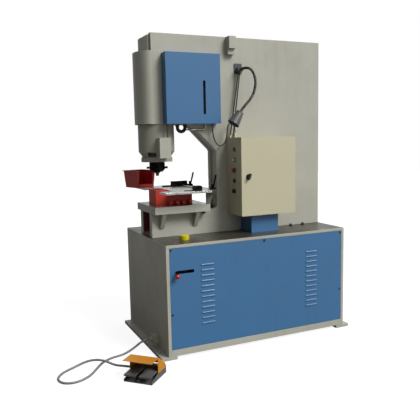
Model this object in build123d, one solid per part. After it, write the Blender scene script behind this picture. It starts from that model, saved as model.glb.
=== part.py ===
from build123d import *
import math
import os

os.makedirs("parts", exist_ok=True)

# Hydraulic punching machine: a double-plate C-frame on a sheet-metal cabinet.
# Millimetres. The origin is on the floor, centred between the anchor holes.
# X runs along the machine, the throat opens towards -X, and the operator's front is -Y.

# Clearances shared by the whole machine
RUN = 0.05            # radial running fit of a shaft in its bore
GAP = 0.3             # free gap between pieces that move past each other
LOOSE = 1.0           # hole around something that only passes through
SEAT = 0.1            # assembly gap of a fixed piece in its pocket

# Cabinet
CABINET_LENGTH = 1285.0
CABINET_WIDTH = 800.0
CABINET_TOP = 700.0
SKID_THICK = 20.0
SKID_WIDTH = 100.0
SKID_OVERHANG = 45.0
ANCHOR_R = 9.0
ANCHOR_FROM_WALL = 22.5
ANCHOR_SPAN_Y = 600.0
SIDE_WALL = 12.0
BACK_WALL = 6.0
TOP_PLATE = 18.0
FLOOR_PLATE = 10.0
POST_WIDTH = 20.0
POST_DEPTH = 40.0
RAIL_HEIGHT = 40.0
RAIL_THICK = 12.0
LIP_WIDTH = 18.0
LIP_THICK = 6.0
PANEL_SHEET = 2.0
PANEL_EDGE_GAP = 1.5
DUCT_HOLE_LENGTH = 150.0
DUCT_HOLE_WIDTH = 90.0

# Louvres of the front panel
LOUVRE_ROWS = 12
LOUVRE_PITCH = 33.0
LOUVRE_LENGTH = 84.0
LOUVRE_HEIGHT = 16.0
LOUVRE_PROUD = 6.0
LOUVRE_FIRST_Z = 197.0
LOUVRE_FROM_MIDDLE = 377.0

# Screws of the panel, the foot of the frame and the bolster
PANEL_SCREW_R = 6.0
PANEL_SCREW_HEAD = 3.0
PANEL_SCREW_INSET = 10.0
PANEL_SCREW_LOW_Z = 278.0
PANEL_LOCK_R = 8.0
PANEL_LOCK_X = 20.0
FOOT_BOLT_R = 10.0
FOOT_BOLT_HEIGHT = 14.0
FOOT_BOLT_WASHER_R = 15.0
FOOT_BOLT_WASHER = 3.0
FOOT_BOLT_FIRST_X = 385.0
FOOT_BOLT_SPACING = 100.0
FOOT_BOLT_FROM_PLATE = 24.0

# C-frame
PLATE_THICK = 45.0
PLATE_SPACE = 140.0
FRAME_TOP = 1963.0
FRAME_REAR_INSET = 8.0
RAM_X = -540.0
THROAT_DEPTH = 370.0
LOWER_JAW_REACH = 87.0
UPPER_JAW_REACH = 57.0
LOWER_JAW_TOP = 855.0
UPPER_JAW_BOTTOM = 1410.0
THROAT_CHAMFER = 172.0
THROAT_CORNER_R = 25.0
WEB_THICK = 20.0
WEB_INSET = 6.0
CLOSING_PLATE_WIDTH = 186.0
CLOSING_PLATE_HEIGHT = 96.0
CLOSING_PLATE_THICK = 14.0
CLOSING_PLATE_DROP = 10.0
CHUTE_THICK = 6.0
CHUTE_RUN = 200.0
CHUTE_LOW_Z = 716.0
CHUTE_FOOT_INSET = 4.0

# Guard around the cylinder, in front of the upper jaw
GUARD_SHEET = 3.0
GUARD_BOTTOM = 1424.0
GUARD_BELOW_TOP = 107.0
GUARD_DEPTH = 74.0
GUARD_FLANGE = 63.0
GUARD_LID_DROP = 8.0

# Ram and its housing
RAM_R = 45.0
HOUSING_R = 115.0
HOUSING_WAIST_Z = 1242.0
NECK_TOP_Z = 1214.0
NECK_R = 94.0
FLANGE_R = 100.0
FLANGE_TOP_Z = 1205.0
FLANGE_BOTTOM_Z = 1177.0
WINDOW_WIDTH = 58.0
WINDOW_BOTTOM_Z = 1209.0
WINDOW_HEIGHT = 28.0
WINDOW_TURN = -126.0
PISTON_R = 50.0
CYLINDER_R = 68.0
CYLINDER_BELOW_TOP = 163.0
CYLINDER_END_WALL = 25.0
PISTON_LENGTH = 60.0
RAM_SHOULDER_Z = 1160.0
RAM_END_R = 28.0
RAM_END_Z = 1136.0

# Punch, its coupling nut and the die
NUT_TOP_Z = 1172.0
NUT_R = 50.0
NUT_LOW_R = 34.0
NUT_BOTTOM_Z = 1112.0
NUT_SHOULDER_Z = 1124.0
NUT_HANDLE_R = 7.0
NUT_HANDLE_REACH = 68.0
NUT_HANDLE_Z = 1139.0
NUT_HANDLE_TURN = -19.0
NUT_SLOT_COUNT = 6
NUT_SLOT_R = 6.0
PUNCH_HEAD_R = 22.0
PUNCH_NECK_R = 17.0
PUNCH_TIP_R = 10.0
PUNCH_TIP_Z = 1086.0
PUNCH_CONE_Z = 1106.0
DIE_R = 30.0
DIE_HOLE_R = 10.5
DIE_RELIEF_R = 14.0
DIE_LAND = 12.0
DIE_HEIGHT = 50.0
DIE_PROUD = 5.0
DIE_ENTRY = 3.0
SLUG_HOLE_R = 20.0

# Bolster and die holder
BOLSTER_THICK = 46.0
BOLSTER_LENGTH = 373.0
BOLSTER_WIDTH = 370.0
BOLSTER_AHEAD = 2.0
BOLSTER_HOLE_R = 6.5
BOLSTER_HOLE_DEPTH = 30.0
BOLSTER_HOLE_FROM_MIDDLE = 135.0
GUSSET_THICK = 26.0
GUSSET_HEIGHT = 98.0
GUSSET_REACH = 58.0
GUSSET_TOE = 8.0
GUSSET_FIRST_X = -562.0
GUSSET_SPACING = 230.0
HOLDER_LENGTH = 258.0
HOLDER_WIDTH = 130.0
HOLDER_AHEAD = 48.0
HOLDER_LOW = 81.0
HOLDER_HIGH = 97.0
HOLDER_HIGH_LENGTH = 90.0
SET_SCREW_COUNT = 4
SET_SCREW_HEAD = 22.0
SET_SCREW_PROUD = 24.0
SET_SCREW_R = 8.0
SET_SCREW_DEPTH = 24.0
SET_SCREW_LAST_INSET = 22.0
SET_SCREW_SPACING = 45.0
SET_SCREW_UP = 13.0

# Work table with its gauges
TABLE_THICK = 12.0
TABLE_LEFT = -582.0
TABLE_RIGHT = -215.0
TABLE_NEAR = -270.0
TABLE_FAR = 290.0
TABLE_CUT_X = 62.0
TABLE_CUT_Y = 66.0
TABLE_NOTCH_LENGTH = 90.0
TABLE_NOTCH_HALF = 150.0
TABLE_SLOT_R = 6.5
TABLE_SLOT_LENGTH = 110.0
BRACKET_THICK = 12.0
BRACKET_FOOT = 24.0
BRACKET_HEAD = 58.0
BRACKET_INSET = 5.0
RAIL_X = -300.0
RAIL_WIDTH = 20.0
RAIL_THICK_Z = 8.0
RAIL_NEAR_Y = -80.0
RAIL_FAR_Y = 170.0
FENCE_X = -318.0
FENCE_Y = 190.0
FENCE_LENGTH = 120.0
FENCE_THICK = 16.0
FENCE_HEIGHT = 36.0
FENCE_TRAVEL = 55.0
FENCE_STRIP_LENGTH = 64.0
FENCE_STRIP_HEIGHT = 9.0
STOP_X = -345.0
STOP_Y = -195.0
STOP_LENGTH = 52.0
STOP_DEPTH = 40.0
STOP_HEIGHT = 30.0
STOP_STRIP_LENGTH = 62.0
STOP_STRIP_HEIGHT = 4.0
STOP_TRAVEL = 50.0
CLAMP_HUB_R = 10.0
CLAMP_HUB_HEIGHT = 20.0
CLAMP_PIN_R = 5.0
CLAMP_ARM_R = 6.0
CLAMP_REACH = 38.0
CLAMP_RISE = 66.0
CLAMP_A_X = -234.0
CLAMP_B_X = -236.0
CLAMP_B_Y = -190.0
CLAMP_FOOT_X = 32.0
CLAMP_FOOT_Y = 28.0
CLAMP_FOOT_Z = 12.0

# Scrap bin on the table's far corner
BIN_SIDE = 138.0
BIN_HEIGHT = 108.0
BIN_WALL = 3.0
BIN_DRAFT = 8.0
BIN_TURN = 17.0
BIN_CORNER_X = -624.0
BIN_CORNER_Y = 150.0
BIN_MOUTH_HEIGHT = 22.0
BIN_MOUTH_POST = 10.0
BIN_RIM = 6.0
BIN_RIM_THICK = 4.0

# Side cover over the limit switches
COVER_LEFT = -530.0
COVER_LENGTH = 366.0
COVER_BOTTOM = 1412.0
COVER_HEIGHT = 432.0
COVER_DEPTH = 68.0
COVER_SHEET = 2.0
COVER_SLOT_X = -276.0
COVER_SLOT_WIDTH = 17.0
COVER_SLOT_BOTTOM = 1469.0
COVER_SLOT_HEIGHT = 210.0
TRIP_ROD_X = -514.0
TRIP_ROD_Y = -143.0
TRIP_ROD_R = 5.0
TRIP_ROD_TOP = 1760.0
TRIP_PIN_R = 7.0
TRIP_PIN_Z = 1300.0
TRIP_COLLAR_R = 11.0
TRIP_COLLAR_HEIGHT = 14.0
TRIP_COLLAR_LOW_Z = 1560.0
TRIP_COLLAR_HIGH_Z = 1700.0
TRIP_BOX_LEFT = -575.0
TRIP_BOX_LENGTH = 72.0
TRIP_BOX_BOTTOM = 1202.0
TRIP_BOX_TOP = 1328.0
TRIP_BOX_FRONT = -165.0
TRIP_BOX_SHEET = 2.0
SWITCH_LENGTH = 34.0
SWITCH_DEPTH = 26.0
SWITCH_HEIGHT = 62.0
SWITCH_FROM_ROD = 30.0
SWITCH_LOW_Z = 1452.0
SWITCH_HIGH_Z = 1718.0

# Hoses of the cylinder under the upper jaw
HOSE_R = 11.0
HOSE_BEND_R = 26.0
HOSE_FIRST_X = -412.0
HOSE_DROP = 44.0
HOSE_Y = -50.0
FITTING_R = 15.0
FITTING_HEIGHT = 16.0
PIPE_R = 4.0
PIPE_BEND_R = 14.0
PIPE_FIRST_X = -362.0
PIPE_LAST_X = -252.0
PIPE_DROP = 34.0
PIPE_FROM_PLATE = 13.0
PIPE_UNION_R = 9.0
PIPE_UNION_LENGTH = 20.0

# Lifting lugs
LUG_X = -64.0
LUG_LENGTH = 49.0
LUG_PROUD = 50.0
LUG_HEIGHT = 113.0
LUG_FOOT_HEIGHT = 36.0
LUG_FOOT_PROUD = 30.0
LUG_THREAD_R = 10.0
LUG_THREAD_DEPTH = 45.0

# Control enclosure: a standard 500 x 400 x 200 box
BOX_LEFT = -90.5
BOX_LENGTH = 400.0
BOX_HEIGHT = 500.0
BOX_DEPTH = 200.0
BOX_BOTTOM = 821.0
BOX_SHEET = 2.0
DOOR_DEPTH = 17.5
DOOR_GAP = 0.5
HINGE_R = 5.0
HINGE_PIN_R = 2.5
HINGE_HEIGHT = 30.0
HINGE_LOW_UP = 79.0
HINGE_HIGH_DOWN = 111.0
HINGE_OUT = 5.5
LOCK_X = -42.0
LOCK_UP = 251.0
LOCK_R = 17.0
LOCK_STEM_R = 8.0
LOCK_WING_LENGTH = 44.0
LOCK_WING_WIDTH = 13.0
LOCK_WING_PROUD = 20.0
LOCK_WING_TURN = 25.0
LOCK_CAM_LENGTH = 24.0
BUTTON_Y = -220.0
BUTTON_TOP_DOWN = 76.0
BUTTON_PITCH = 67.0
BUTTON_COUNT = 5
BEZEL_R = 15.0
BEZEL_PROUD = 6.0
BARREL_R = 11.0
BARREL_DEPTH = 22.0
STEM_R = 9.0
BUTTON_PROUD = 5.0
BUTTON_TRAVEL = 4.0
MUSHROOM_R = 14.0
MUSHROOM_THICK = 7.0
SELECTOR_R = 12.0
SELECTOR_PROUD = 13.0
SELECTOR_WING = 6.0
CONTACT_SIZE = 30.0
CONTACT_DEPTH = 26.0
GEAR_PLATE_INSET = 30.0
GEAR_PLATE_THICK = 3.0
GEAR_STANDOFF = 10.0
GEAR_STANDOFF_R = 6.0
CONTACTOR_WIDTH = 45.0
CONTACTOR_HEIGHT = 75.0
CONTACTOR_DEPTH = 80.0
CONTACTOR_COUNT = 4
TRANSFORMER_WIDTH = 90.0
TRANSFORMER_HEIGHT = 84.0
TRANSFORMER_DEPTH = 78.0
TERMINAL_WIDTH = 190.0
TERMINAL_HEIGHT = 42.0
TERMINAL_DEPTH = 44.0
PEDESTAL_X = 105.0
PEDESTAL_LENGTH = 202.0
PEDESTAL_DEPTH = 150.0
PEDESTAL_SHEET = 2.5

# Work lamp on its gooseneck
LAMP_BASE_X = -4.0
LAMP_BASE_Z = 1756.0
LAMP_PLATE_LENGTH = 54.0
LAMP_PLATE_HEIGHT = 44.0
LAMP_PLATE_Z = 1776.0
LAMP_PLATE_THICK = 6.0
LAMP_BOSS_R = 19.0
LAMP_BOSS_LENGTH = 34.0
NECK_TUBE_R = 8.5
NECK_ROUTE = (
    (0.0, 0.0, 0.0),
    (2.0, -44.0, 6.0),
    (24.0, -82.0, 2.0),
    (46.0, -98.0, -36.0),
    (52.0, -106.0, -88.0),
    (40.0, -112.0, -142.0),
    (12.0, -117.0, -192.0),
)
SHADE_TOP = (-73.0, -274.0, 1478.0)
SHADE_TILT = 35.0
SHADE_LENGTH = 88.0
SHADE_TOP_R = 24.0
SHADE_MOUTH_R = 39.0
SHADE_WALL = 1.6
SHADE_CAP = 8.0
BULB_R = 17.0
BULB_LENGTH = 52.0
BULB_NECK_R = 12.0
LEAD_R = 4.0
LEAD_TOP_SPACING = 9.8
LEAD_FIRST_X = 35.0
LEAD_FOOT_SPACING = 21.0
GLAND_R = 9.0
GLAND_HEIGHT = 16.0

# Cable from the side cover to the control enclosure
SWITCH_CABLE_D = 7.0
SWITCH_CABLE_ROUTE = (
    (-207.0, -145.0, 1396.0),
    (-207.0, -145.0, 1350.0),
    (-195.0, -146.0, 1304.0),
    (-170.0, -148.0, 1270.0),
    (-138.0, -150.0, 1270.0),
    (-114.0, -151.0, 1306.0),
    (-107.0, -152.0, 1350.0),
    (-105.0, -152.0, 1386.0),
    (-97.0, -152.0, 1405.0),
    (-78.0, -152.0, 1413.0),
    (-59.0, -152.0, 1405.0),
    (-50.0, -152.0, 1386.0),
    (-50.0, -152.0, 1352.0),
)

# Power pack in the cabinet
TANK_LEFT = -605.0
TANK_LENGTH = 380.0
TANK_NEAR = -330.0
TANK_WIDTH = 560.0
TANK_HEIGHT = 470.0
FILLER_X = -467.0
FILLER_Y = -258.0
FILLER_TUBE_R = 24.0
FILLER_BORE_R = 20.0
FILLER_PROUD = 8.0
CAP_R = 30.0
CAP_HEIGHT = 37.0
CAP_TOP_WALL = 26.0
CAP_RIB_COUNT = 18
CAP_RIB_R = 2.0
MOTOR_X = 60.0
MOTOR_LENGTH = 300.0
MOTOR_R = 115.0
MOTOR_AXIS_Z = 170.0
MOTOR_FAN_R = 108.0
MOTOR_FAN_LENGTH = 60.0
MOTOR_FOOT_WIDTH = 190.0
MOTOR_FOOT_LENGTH = 220.0
MOTOR_RIB_COUNT = 20
MOTOR_RIB = 6.0
PUMP_BELL_R = 90.0
PUMP_BELL_LENGTH = 70.0
PUMP_BODY = 84.0
PUMP_LENGTH = 90.0
VALVE_LENGTH = 70.0
VALVE_WIDTH = 96.0
VALVE_BASE_HEIGHT = 24.0
VALVE_HEIGHT = 62.0
VALVE_STEP = 34.0

# Hand lever of the valve, through the slot of the front panel
LEVER_PIVOT_X = -526.0
LEVER_PIVOT_Y = -292.0
LEVER_Z = 533.0
LEVER_SLOT_LENGTH = 124.0
LEVER_SLOT_HEIGHT = 20.0
LEVER_R = 5.0
LEVER_TURN = 23.0
LEVER_OUT = 28.0
LEVER_HUB_R = 12.0
LEVER_HUB_HEIGHT = 14.0
LEVER_PIN_R = 6.0
LEVER_DROP = 18.0
LEVER_BALL_R = 15.0

# Cable outlet on the left wall
OUTLET_Y = -200.0
OUTLET_Z = 79.0
OUTLET_WIDTH = 62.0
OUTLET_HEIGHT = 50.0
OUTLET_DEPTH = 38.0
OUTLET_SHEET = 3.0
OUTLET_GLAND_R = 13.0
OUTLET_GLAND_LENGTH = 20.0

# Foot switch on the floor, in its own frame: X across, -Y to the toe
FOOT_X = -838.0
FOOT_Y = -544.0
FOOT_TURN = -45.0
FOOT_WIDTH = 172.0
FOOT_LENGTH = 184.0
FOOT_FLOOR = 4.0
FOOT_CHEEK = 3.0
FOOT_TOE_HEIGHT = 14.0
FOOT_REAR_HEIGHT = 44.0
FOOT_CASE_LENGTH = 56.0
FOOT_RIB = 10.0
PEDAL_INNER = 11.0
PEDAL_SIDE_GAP = 1.5
PEDAL_THICK = 4.0
PEDAL_TOE_Y = -98.0
PEDAL_TOE_Z = 44.0
PEDAL_PIN_Y = 22.0
PEDAL_PIN_Z = 40.0
PEDAL_PIN_R = 4.0
PEDAL_BOSS_R = 8.0
PEDAL_BOSS_LENGTH = 30.0
PEDAL_LIP = 9.0
PEDAL_ANGLE = 8.0
HOOD_SHEET = 2.5
HOOD_TOP_Z = 125.0
HOOD_FRONT_Y = -95.0
HOOD_CHEEK_Y = -15.0
HOOD_REAR_Y = 80.0
HOOD_REAR_Z = 58.0
HOOD_LAP = 8.0
INLET_Y = 50.0
INLET_Z = 22.0
INLET_R = 12.0
INLET_LENGTH = 25.0

# Cable of the foot switch, on the floor
FOOT_CABLE_D = 14.0
FOOT_CABLE_ROUTE = (
    (-700.5, -200.0, 79.0),
    (-742.0, -200.0, 79.0),
    (-793.0, -193.0, 39.0),
    (-860.0, -192.0, 7.5),
    (-942.0, -208.0, 7.5),
    (-1007.0, -249.0, 7.5),
    (-1060.0, -325.0, 7.5),
    (-1118.0, -412.0, 7.5),
    (-1200.0, -462.0, 7.5),
    (-1272.0, -443.0, 7.5),
    (-1296.0, -372.0, 7.5),
    (-1256.0, -298.0, 7.5),
    (-1178.0, -247.0, 7.5),
    (-1110.0, -240.0, 26.0),
    (-1056.0, -260.0, 37.0),
    (-1008.0, -298.0, 36.0),
    (-958.0, -346.0, 15.0),
    (-912.9, -398.3, 22.0),
    (-881.1, -430.1, 22.0),
)

# Places worked out from the sizes above
HALF_LENGTH = CABINET_LENGTH / 2
HALF_WIDTH = CABINET_WIDTH / 2
TOP_UNDER = CABINET_TOP - TOP_PLATE
RAIL_TOP = SKID_THICK + RAIL_HEIGHT
FRONT = -HALF_WIDTH
PANEL_BACK = FRONT + PANEL_SHEET
PLATE_INNER = PLATE_SPACE / 2
PLATE_OUTER = PLATE_INNER + PLATE_THICK
THROAT_X = RAM_X + THROAT_DEPTH
LOWER_JAW_X = RAM_X - LOWER_JAW_REACH
UPPER_JAW_X = RAM_X - UPPER_JAW_REACH
FRAME_REAR = HALF_LENGTH - FRAME_REAR_INSET
CYLINDER_TOP = FRAME_TOP - CYLINDER_BELOW_TOP
GUARD_TOP = FRAME_TOP - GUARD_BELOW_TOP
BOLSTER_LEFT = LOWER_JAW_X + BOLSTER_AHEAD
BOLSTER_RIGHT = BOLSTER_LEFT + BOLSTER_LENGTH
BOLSTER_TOP = LOWER_JAW_TOP + BOLSTER_THICK
HOLDER_LEFT = RAM_X - HOLDER_AHEAD
HOLDER_RIGHT = HOLDER_LEFT + HOLDER_LENGTH
HOLDER_LOW_TOP = BOLSTER_TOP + HOLDER_LOW
HOLDER_TOP = BOLSTER_TOP + HOLDER_HIGH
DIE_TOP = HOLDER_TOP + DIE_PROUD
STROKE = PUNCH_TIP_Z - DIE_TOP + DIE_ENTRY
TABLE_UNDER = HOLDER_LOW_TOP
TABLE_TOP = TABLE_UNDER + TABLE_THICK
COVER_RIGHT = COVER_LEFT + COVER_LENGTH
COVER_FRONT = -PLATE_OUTER - COVER_DEPTH
COVER_TOP = COVER_BOTTOM + COVER_HEIGHT
BOX_RIGHT = BOX_LEFT + BOX_LENGTH
BOX_TOP = BOX_BOTTOM + BOX_HEIGHT
BOX_BACK = -PLATE_OUTER
BOX_FRONT = BOX_BACK - BOX_DEPTH
DOOR_BACK = BOX_FRONT + DOOR_DEPTH
BODY_FRONT = DOOR_BACK + DOOR_GAP
HINGE_X = BOX_RIGHT + HINGE_OUT
TANK_BOTTOM = SKID_THICK + FLOOR_PLATE
TANK_TOP = TANK_BOTTOM + TANK_HEIGHT
TRIP_BOX_RIGHT = TRIP_BOX_LEFT + TRIP_BOX_LENGTH
HINGE_LOW_Z = BOX_BOTTOM + HINGE_LOW_UP
HINGE_HIGH_Z = BOX_TOP - HINGE_HIGH_DOWN
LOCK_Z = BOX_BOTTOM + LOCK_UP
BUTTON_TOP_Z = BOX_TOP - BUTTON_TOP_DOWN
BUTTON_Z = [BUTTON_TOP_Z - row * BUTTON_PITCH for row in range(BUTTON_COUNT)]
LAMP_Z, WHITE_Z, RED_Z, GREEN_Z, SELECTOR_Z = BUTTON_Z


def block(x0, x1, y0, y1, z0, z1):
    """Box between two opposite corners."""
    return Pos((x0 + x1) / 2, (y0 + y1) / 2, (z0 + z1) / 2) * Box(x1 - x0, y1 - y0, z1 - z0)


def rod(start, end, radius):
    """Round bar from one point to another."""
    run = Vector(*end) - Vector(*start)
    return extrude(Plane(origin=start, z_dir=run) * Circle(radius), run.length)


def turned(profile, x=0.0, y=0.0):
    """Body of revolution about a vertical axis, from radius and height pairs."""
    face = make_face(Polyline(*[(r, 0, z) for r, z in profile], close=True))
    return Pos(x, y, 0) * revolve(face, Axis.Z)


def plate_xz(points, y0, y1):
    """Plate with an outline in X and Z, from y0 to y1."""
    face = make_face(Polyline(*[(x, y0, z) for x, z in points], close=True))
    return extrude(face, amount=y1 - y0, dir=(0, 1, 0))


def plate_yz(points, x0, x1):
    """Plate with an outline in Y and Z, from x0 to x1."""
    face = make_face(Polyline(*[(x0, y, z) for y, z in points], close=True))
    return extrude(face, amount=x1 - x0, dir=(1, 0, 0))


def plate_xy(points, z0, z1):
    """Plate with an outline in X and Y, from z0 to z1."""
    face = make_face(Polyline(*[(x, y, z0) for x, y in points], close=True))
    return extrude(face, amount=z1 - z0, dir=(0, 0, 1))


def hexagon(x, y, z0, z1, radius):
    """Hexagonal bar standing on end."""
    return extrude(Plane(origin=(x, y, z0)) * RegularPolygon(radius, 6), z1 - z0)


def bend_radii(route):
    """The largest arc at each corner that its two runs allow."""
    points = [Vector(*point) for point in route]
    radii = []
    for before, corner, after in zip(points, points[1:], points[2:]):
        arriving = corner - before
        leaving = after - corner
        half_turn = math.radians(arriving.get_angle(leaving)) / 2
        radii.append(0.45 * min(arriving.length, leaving.length) / math.tan(half_turn))
    return radii


def cord(route, diameter):
    """Round cable of straight runs joined by tangent arcs."""
    radii = bend_radii(route)
    path = FilletPolyline(*route, radius=radii)
    section = Plane(origin=path @ 0, z_dir=path % 0) * Circle(diameter / 2)
    solid = sweep(section, path=path)
    wanted = math.pi * diameter**2 / 4 * path.length
    print(f"cord length {path.length:.0f}, volume ratio {solid.volume / wanted:.4f}, radii", end=" ")
    print([round(radius) for radius in radii])
    return solid


def bent_pipe(route, bend, radius):
    """Pipe with equal bends."""
    path = FilletPolyline(*route, radius=bend)
    return sweep(Plane(origin=path @ 0, z_dir=path % 0) * Circle(radius), path=path)


def make_skids():
    """Two floor strips under the cabinet's ends, with the anchor holes outside the walls."""
    skids = []
    for side in (-1, 1):
        outer = side * (HALF_LENGTH + SKID_OVERHANG)
        inner = outer - side * SKID_WIDTH
        strip = block(min(outer, inner), max(outer, inner), -HALF_WIDTH, HALF_WIDTH, 0, SKID_THICK)
        for y in (-ANCHOR_SPAN_Y / 2, ANCHOR_SPAN_Y / 2):
            x = side * (HALF_LENGTH + ANCHOR_FROM_WALL)
            strip -= rod((x, y, -LOOSE), (x, y, SKID_THICK + LOOSE), ANCHOR_R)
        skids.append(strip)
    return Compound(children=skids)


def make_cabinet_walls():
    """Side and back plates with the front posts, welded in one piece, and the cable outlet."""
    bottom = SKID_THICK
    wall_y = HALF_WIDTH - BACK_WALL
    walls = block(-HALF_LENGTH, HALF_LENGTH, wall_y, HALF_WIDTH, bottom, TOP_UNDER)
    for side in (-1, 1):
        outer = side * HALF_LENGTH
        inner = outer - side * SIDE_WALL
        post = outer - side * POST_WIDTH
        lip = post - side * LIP_WIDTH
        walls += block(min(outer, inner), max(outer, inner), FRONT, HALF_WIDTH, bottom, TOP_UNDER)
        walls += block(min(outer, post), max(outer, post), FRONT, FRONT + POST_DEPTH, bottom, TOP_UNDER)
        walls += block(min(post, lip), max(post, lip), PANEL_BACK, PANEL_BACK + LIP_THICK, RAIL_TOP, TOP_UNDER)
    outlet_x = -HALF_LENGTH - OUTLET_DEPTH
    low = OUTLET_Z - OUTLET_HEIGHT / 2
    high = OUTLET_Z + OUTLET_HEIGHT / 2
    near = OUTLET_Y - OUTLET_WIDTH / 2
    far = OUTLET_Y + OUTLET_WIDTH / 2
    walls += block(outlet_x, -HALF_LENGTH, near, far, low, high)
    walls -= block(outlet_x + OUTLET_SHEET, -HALF_LENGTH + SIDE_WALL + LOOSE,
                   near + OUTLET_SHEET, far - OUTLET_SHEET, low + OUTLET_SHEET, high - OUTLET_SHEET)
    walls += rod((outlet_x - OUTLET_GLAND_LENGTH, OUTLET_Y, OUTLET_Z), (outlet_x, OUTLET_Y, OUTLET_Z),
                 OUTLET_GLAND_R)
    return walls


def make_cabinet_floor():
    """Bottom plate on the skids, with the front rail under the panel."""
    inner = HALF_LENGTH - SIDE_WALL
    post = HALF_LENGTH - POST_WIDTH
    plate = block(-inner, inner, FRONT + POST_DEPTH, HALF_WIDTH - BACK_WALL,
                  SKID_THICK, SKID_THICK + FLOOR_PLATE)
    rail = block(-post, post, FRONT, FRONT + RAIL_THICK, SKID_THICK, RAIL_TOP)
    joint = block(-post, post, FRONT, FRONT + POST_DEPTH, SKID_THICK, SKID_THICK + FLOOR_PLATE)
    return plate + rail + joint


def make_cabinet_top():
    """Top plate with the lip above the panel, the filler hole and the cable passage."""
    plate = block(-HALF_LENGTH, HALF_LENGTH, -HALF_WIDTH, HALF_WIDTH, TOP_UNDER, CABINET_TOP)
    lip_x = HALF_LENGTH - POST_WIDTH - LIP_WIDTH
    plate += block(-lip_x, lip_x, PANEL_BACK, PANEL_BACK + LIP_THICK, TOP_UNDER - LIP_WIDTH, TOP_UNDER)
    plate -= rod((FILLER_X, FILLER_Y, TOP_UNDER - LOOSE), (FILLER_X, FILLER_Y, CABINET_TOP + LOOSE),
                 FILLER_TUBE_R + LOOSE)
    middle = -PLATE_OUTER - PEDESTAL_DEPTH / 2
    plate -= block(PEDESTAL_X - DUCT_HOLE_LENGTH / 2, PEDESTAL_X + DUCT_HOLE_LENGTH / 2,
                   middle - DUCT_HOLE_WIDTH / 2, middle + DUCT_HOLE_WIDTH / 2,
                   TOP_UNDER - LOOSE, CABINET_TOP + LOOSE)
    return plate


def make_louvre(x, z):
    """One pressed louvre: a quarter-round hood, open along its lower edge."""
    half = LOUVRE_LENGTH / 2
    hood = Pos(x, PANEL_BACK - PANEL_SHEET, z) * scale(
        Rot(0, 90, 0) * Cylinder(LOUVRE_HEIGHT / 2, 2 * half), (1, LOUVRE_PROUD * 2 / LOUVRE_HEIGHT, 1))
    front_half = block(x - half, x + half, FRONT - LOUVRE_PROUD, FRONT, z, z + LOUVRE_HEIGHT / 2)
    return hood & front_half


def make_front_panel():
    """Sheet panel with two columns of louvres and the slot of the valve lever."""
    half = HALF_LENGTH - POST_WIDTH - PANEL_EDGE_GAP
    panel = block(-half, half, FRONT, PANEL_BACK, RAIL_TOP + PANEL_EDGE_GAP, TOP_UNDER - PANEL_EDGE_GAP)
    straight = (LEVER_SLOT_LENGTH - LEVER_SLOT_HEIGHT) / 2
    slot = block(LEVER_PIVOT_X - straight, LEVER_PIVOT_X + straight, FRONT - LOOSE, PANEL_BACK + LOOSE,
                 LEVER_Z - LEVER_SLOT_HEIGHT / 2, LEVER_Z + LEVER_SLOT_HEIGHT / 2)
    for x in (LEVER_PIVOT_X - straight, LEVER_PIVOT_X + straight):
        slot += rod((x, FRONT - LOOSE, LEVER_Z), (x, PANEL_BACK + LOOSE, LEVER_Z), LEVER_SLOT_HEIGHT / 2)
    panel -= slot
    for column in (-LOUVRE_FROM_MIDDLE, LOUVRE_FROM_MIDDLE):
        for row in range(LOUVRE_ROWS):
            z = LOUVRE_FIRST_Z + row * LOUVRE_PITCH
            panel += make_louvre(column, z)
            panel -= block(column - LOUVRE_LENGTH / 2, column + LOUVRE_LENGTH / 2,
                           FRONT - LOUVRE_PROUD / 3, PANEL_BACK + LOOSE, z - LOOSE, z + LOUVRE_HEIGHT / 4)
    return panel


def make_machine_screws():
    """Panel screws, the panel's quarter-turn lock and the bolts at the foot of the frame."""
    half = HALF_LENGTH - POST_WIDTH - PANEL_EDGE_GAP - PANEL_SCREW_INSET
    top = TOP_UNDER - PANEL_EDGE_GAP - PANEL_SCREW_INSET
    screws = []
    for x, z in ((-half, top), (half, top), (-half, PANEL_SCREW_LOW_Z), (half, PANEL_SCREW_LOW_Z)):
        screws.append(rod((x, FRONT - PANEL_SCREW_HEAD, z), (x, FRONT, z), PANEL_SCREW_R))
    screws.append(rod((PANEL_LOCK_X, FRONT - PANEL_SCREW_HEAD, top), (PANEL_LOCK_X, FRONT, top), PANEL_LOCK_R))
    y = -PLATE_OUTER - FOOT_BOLT_FROM_PLATE
    for x in (FOOT_BOLT_FIRST_X, FOOT_BOLT_FIRST_X + FOOT_BOLT_SPACING):
        bolt = rod((x, y, CABINET_TOP), (x, y, CABINET_TOP + FOOT_BOLT_WASHER), FOOT_BOLT_WASHER_R)
        bolt += hexagon(x, y, CABINET_TOP + FOOT_BOLT_WASHER, CABINET_TOP + FOOT_BOLT_HEIGHT, FOOT_BOLT_R)
        screws.append(bolt)
    return Compound(children=screws)


def make_frame_plate(y0):
    """One C-shaped plate, with the chamfered throat and its rounded corner."""
    outline = (
        (LOWER_JAW_X, CABINET_TOP),
        (FRAME_REAR, CABINET_TOP),
        (FRAME_REAR, FRAME_TOP),
        (UPPER_JAW_X, FRAME_TOP),
        (UPPER_JAW_X, UPPER_JAW_BOTTOM),
        (THROAT_X - THROAT_CHAMFER, UPPER_JAW_BOTTOM),
        (THROAT_X, UPPER_JAW_BOTTOM - THROAT_CHAMFER),
        (THROAT_X, LOWER_JAW_TOP),
        (LOWER_JAW_X, LOWER_JAW_TOP),
    )
    plate = plate_xz(outline, y0, y0 + PLATE_THICK)
    corner = [edge for edge in plate.edges().filter_by(Axis.Y)
              if abs(edge.center().X - THROAT_X) < LOOSE and edge.center().Z < UPPER_JAW_BOTTOM]
    return fillet(corner, THROAT_CORNER_R)


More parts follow.
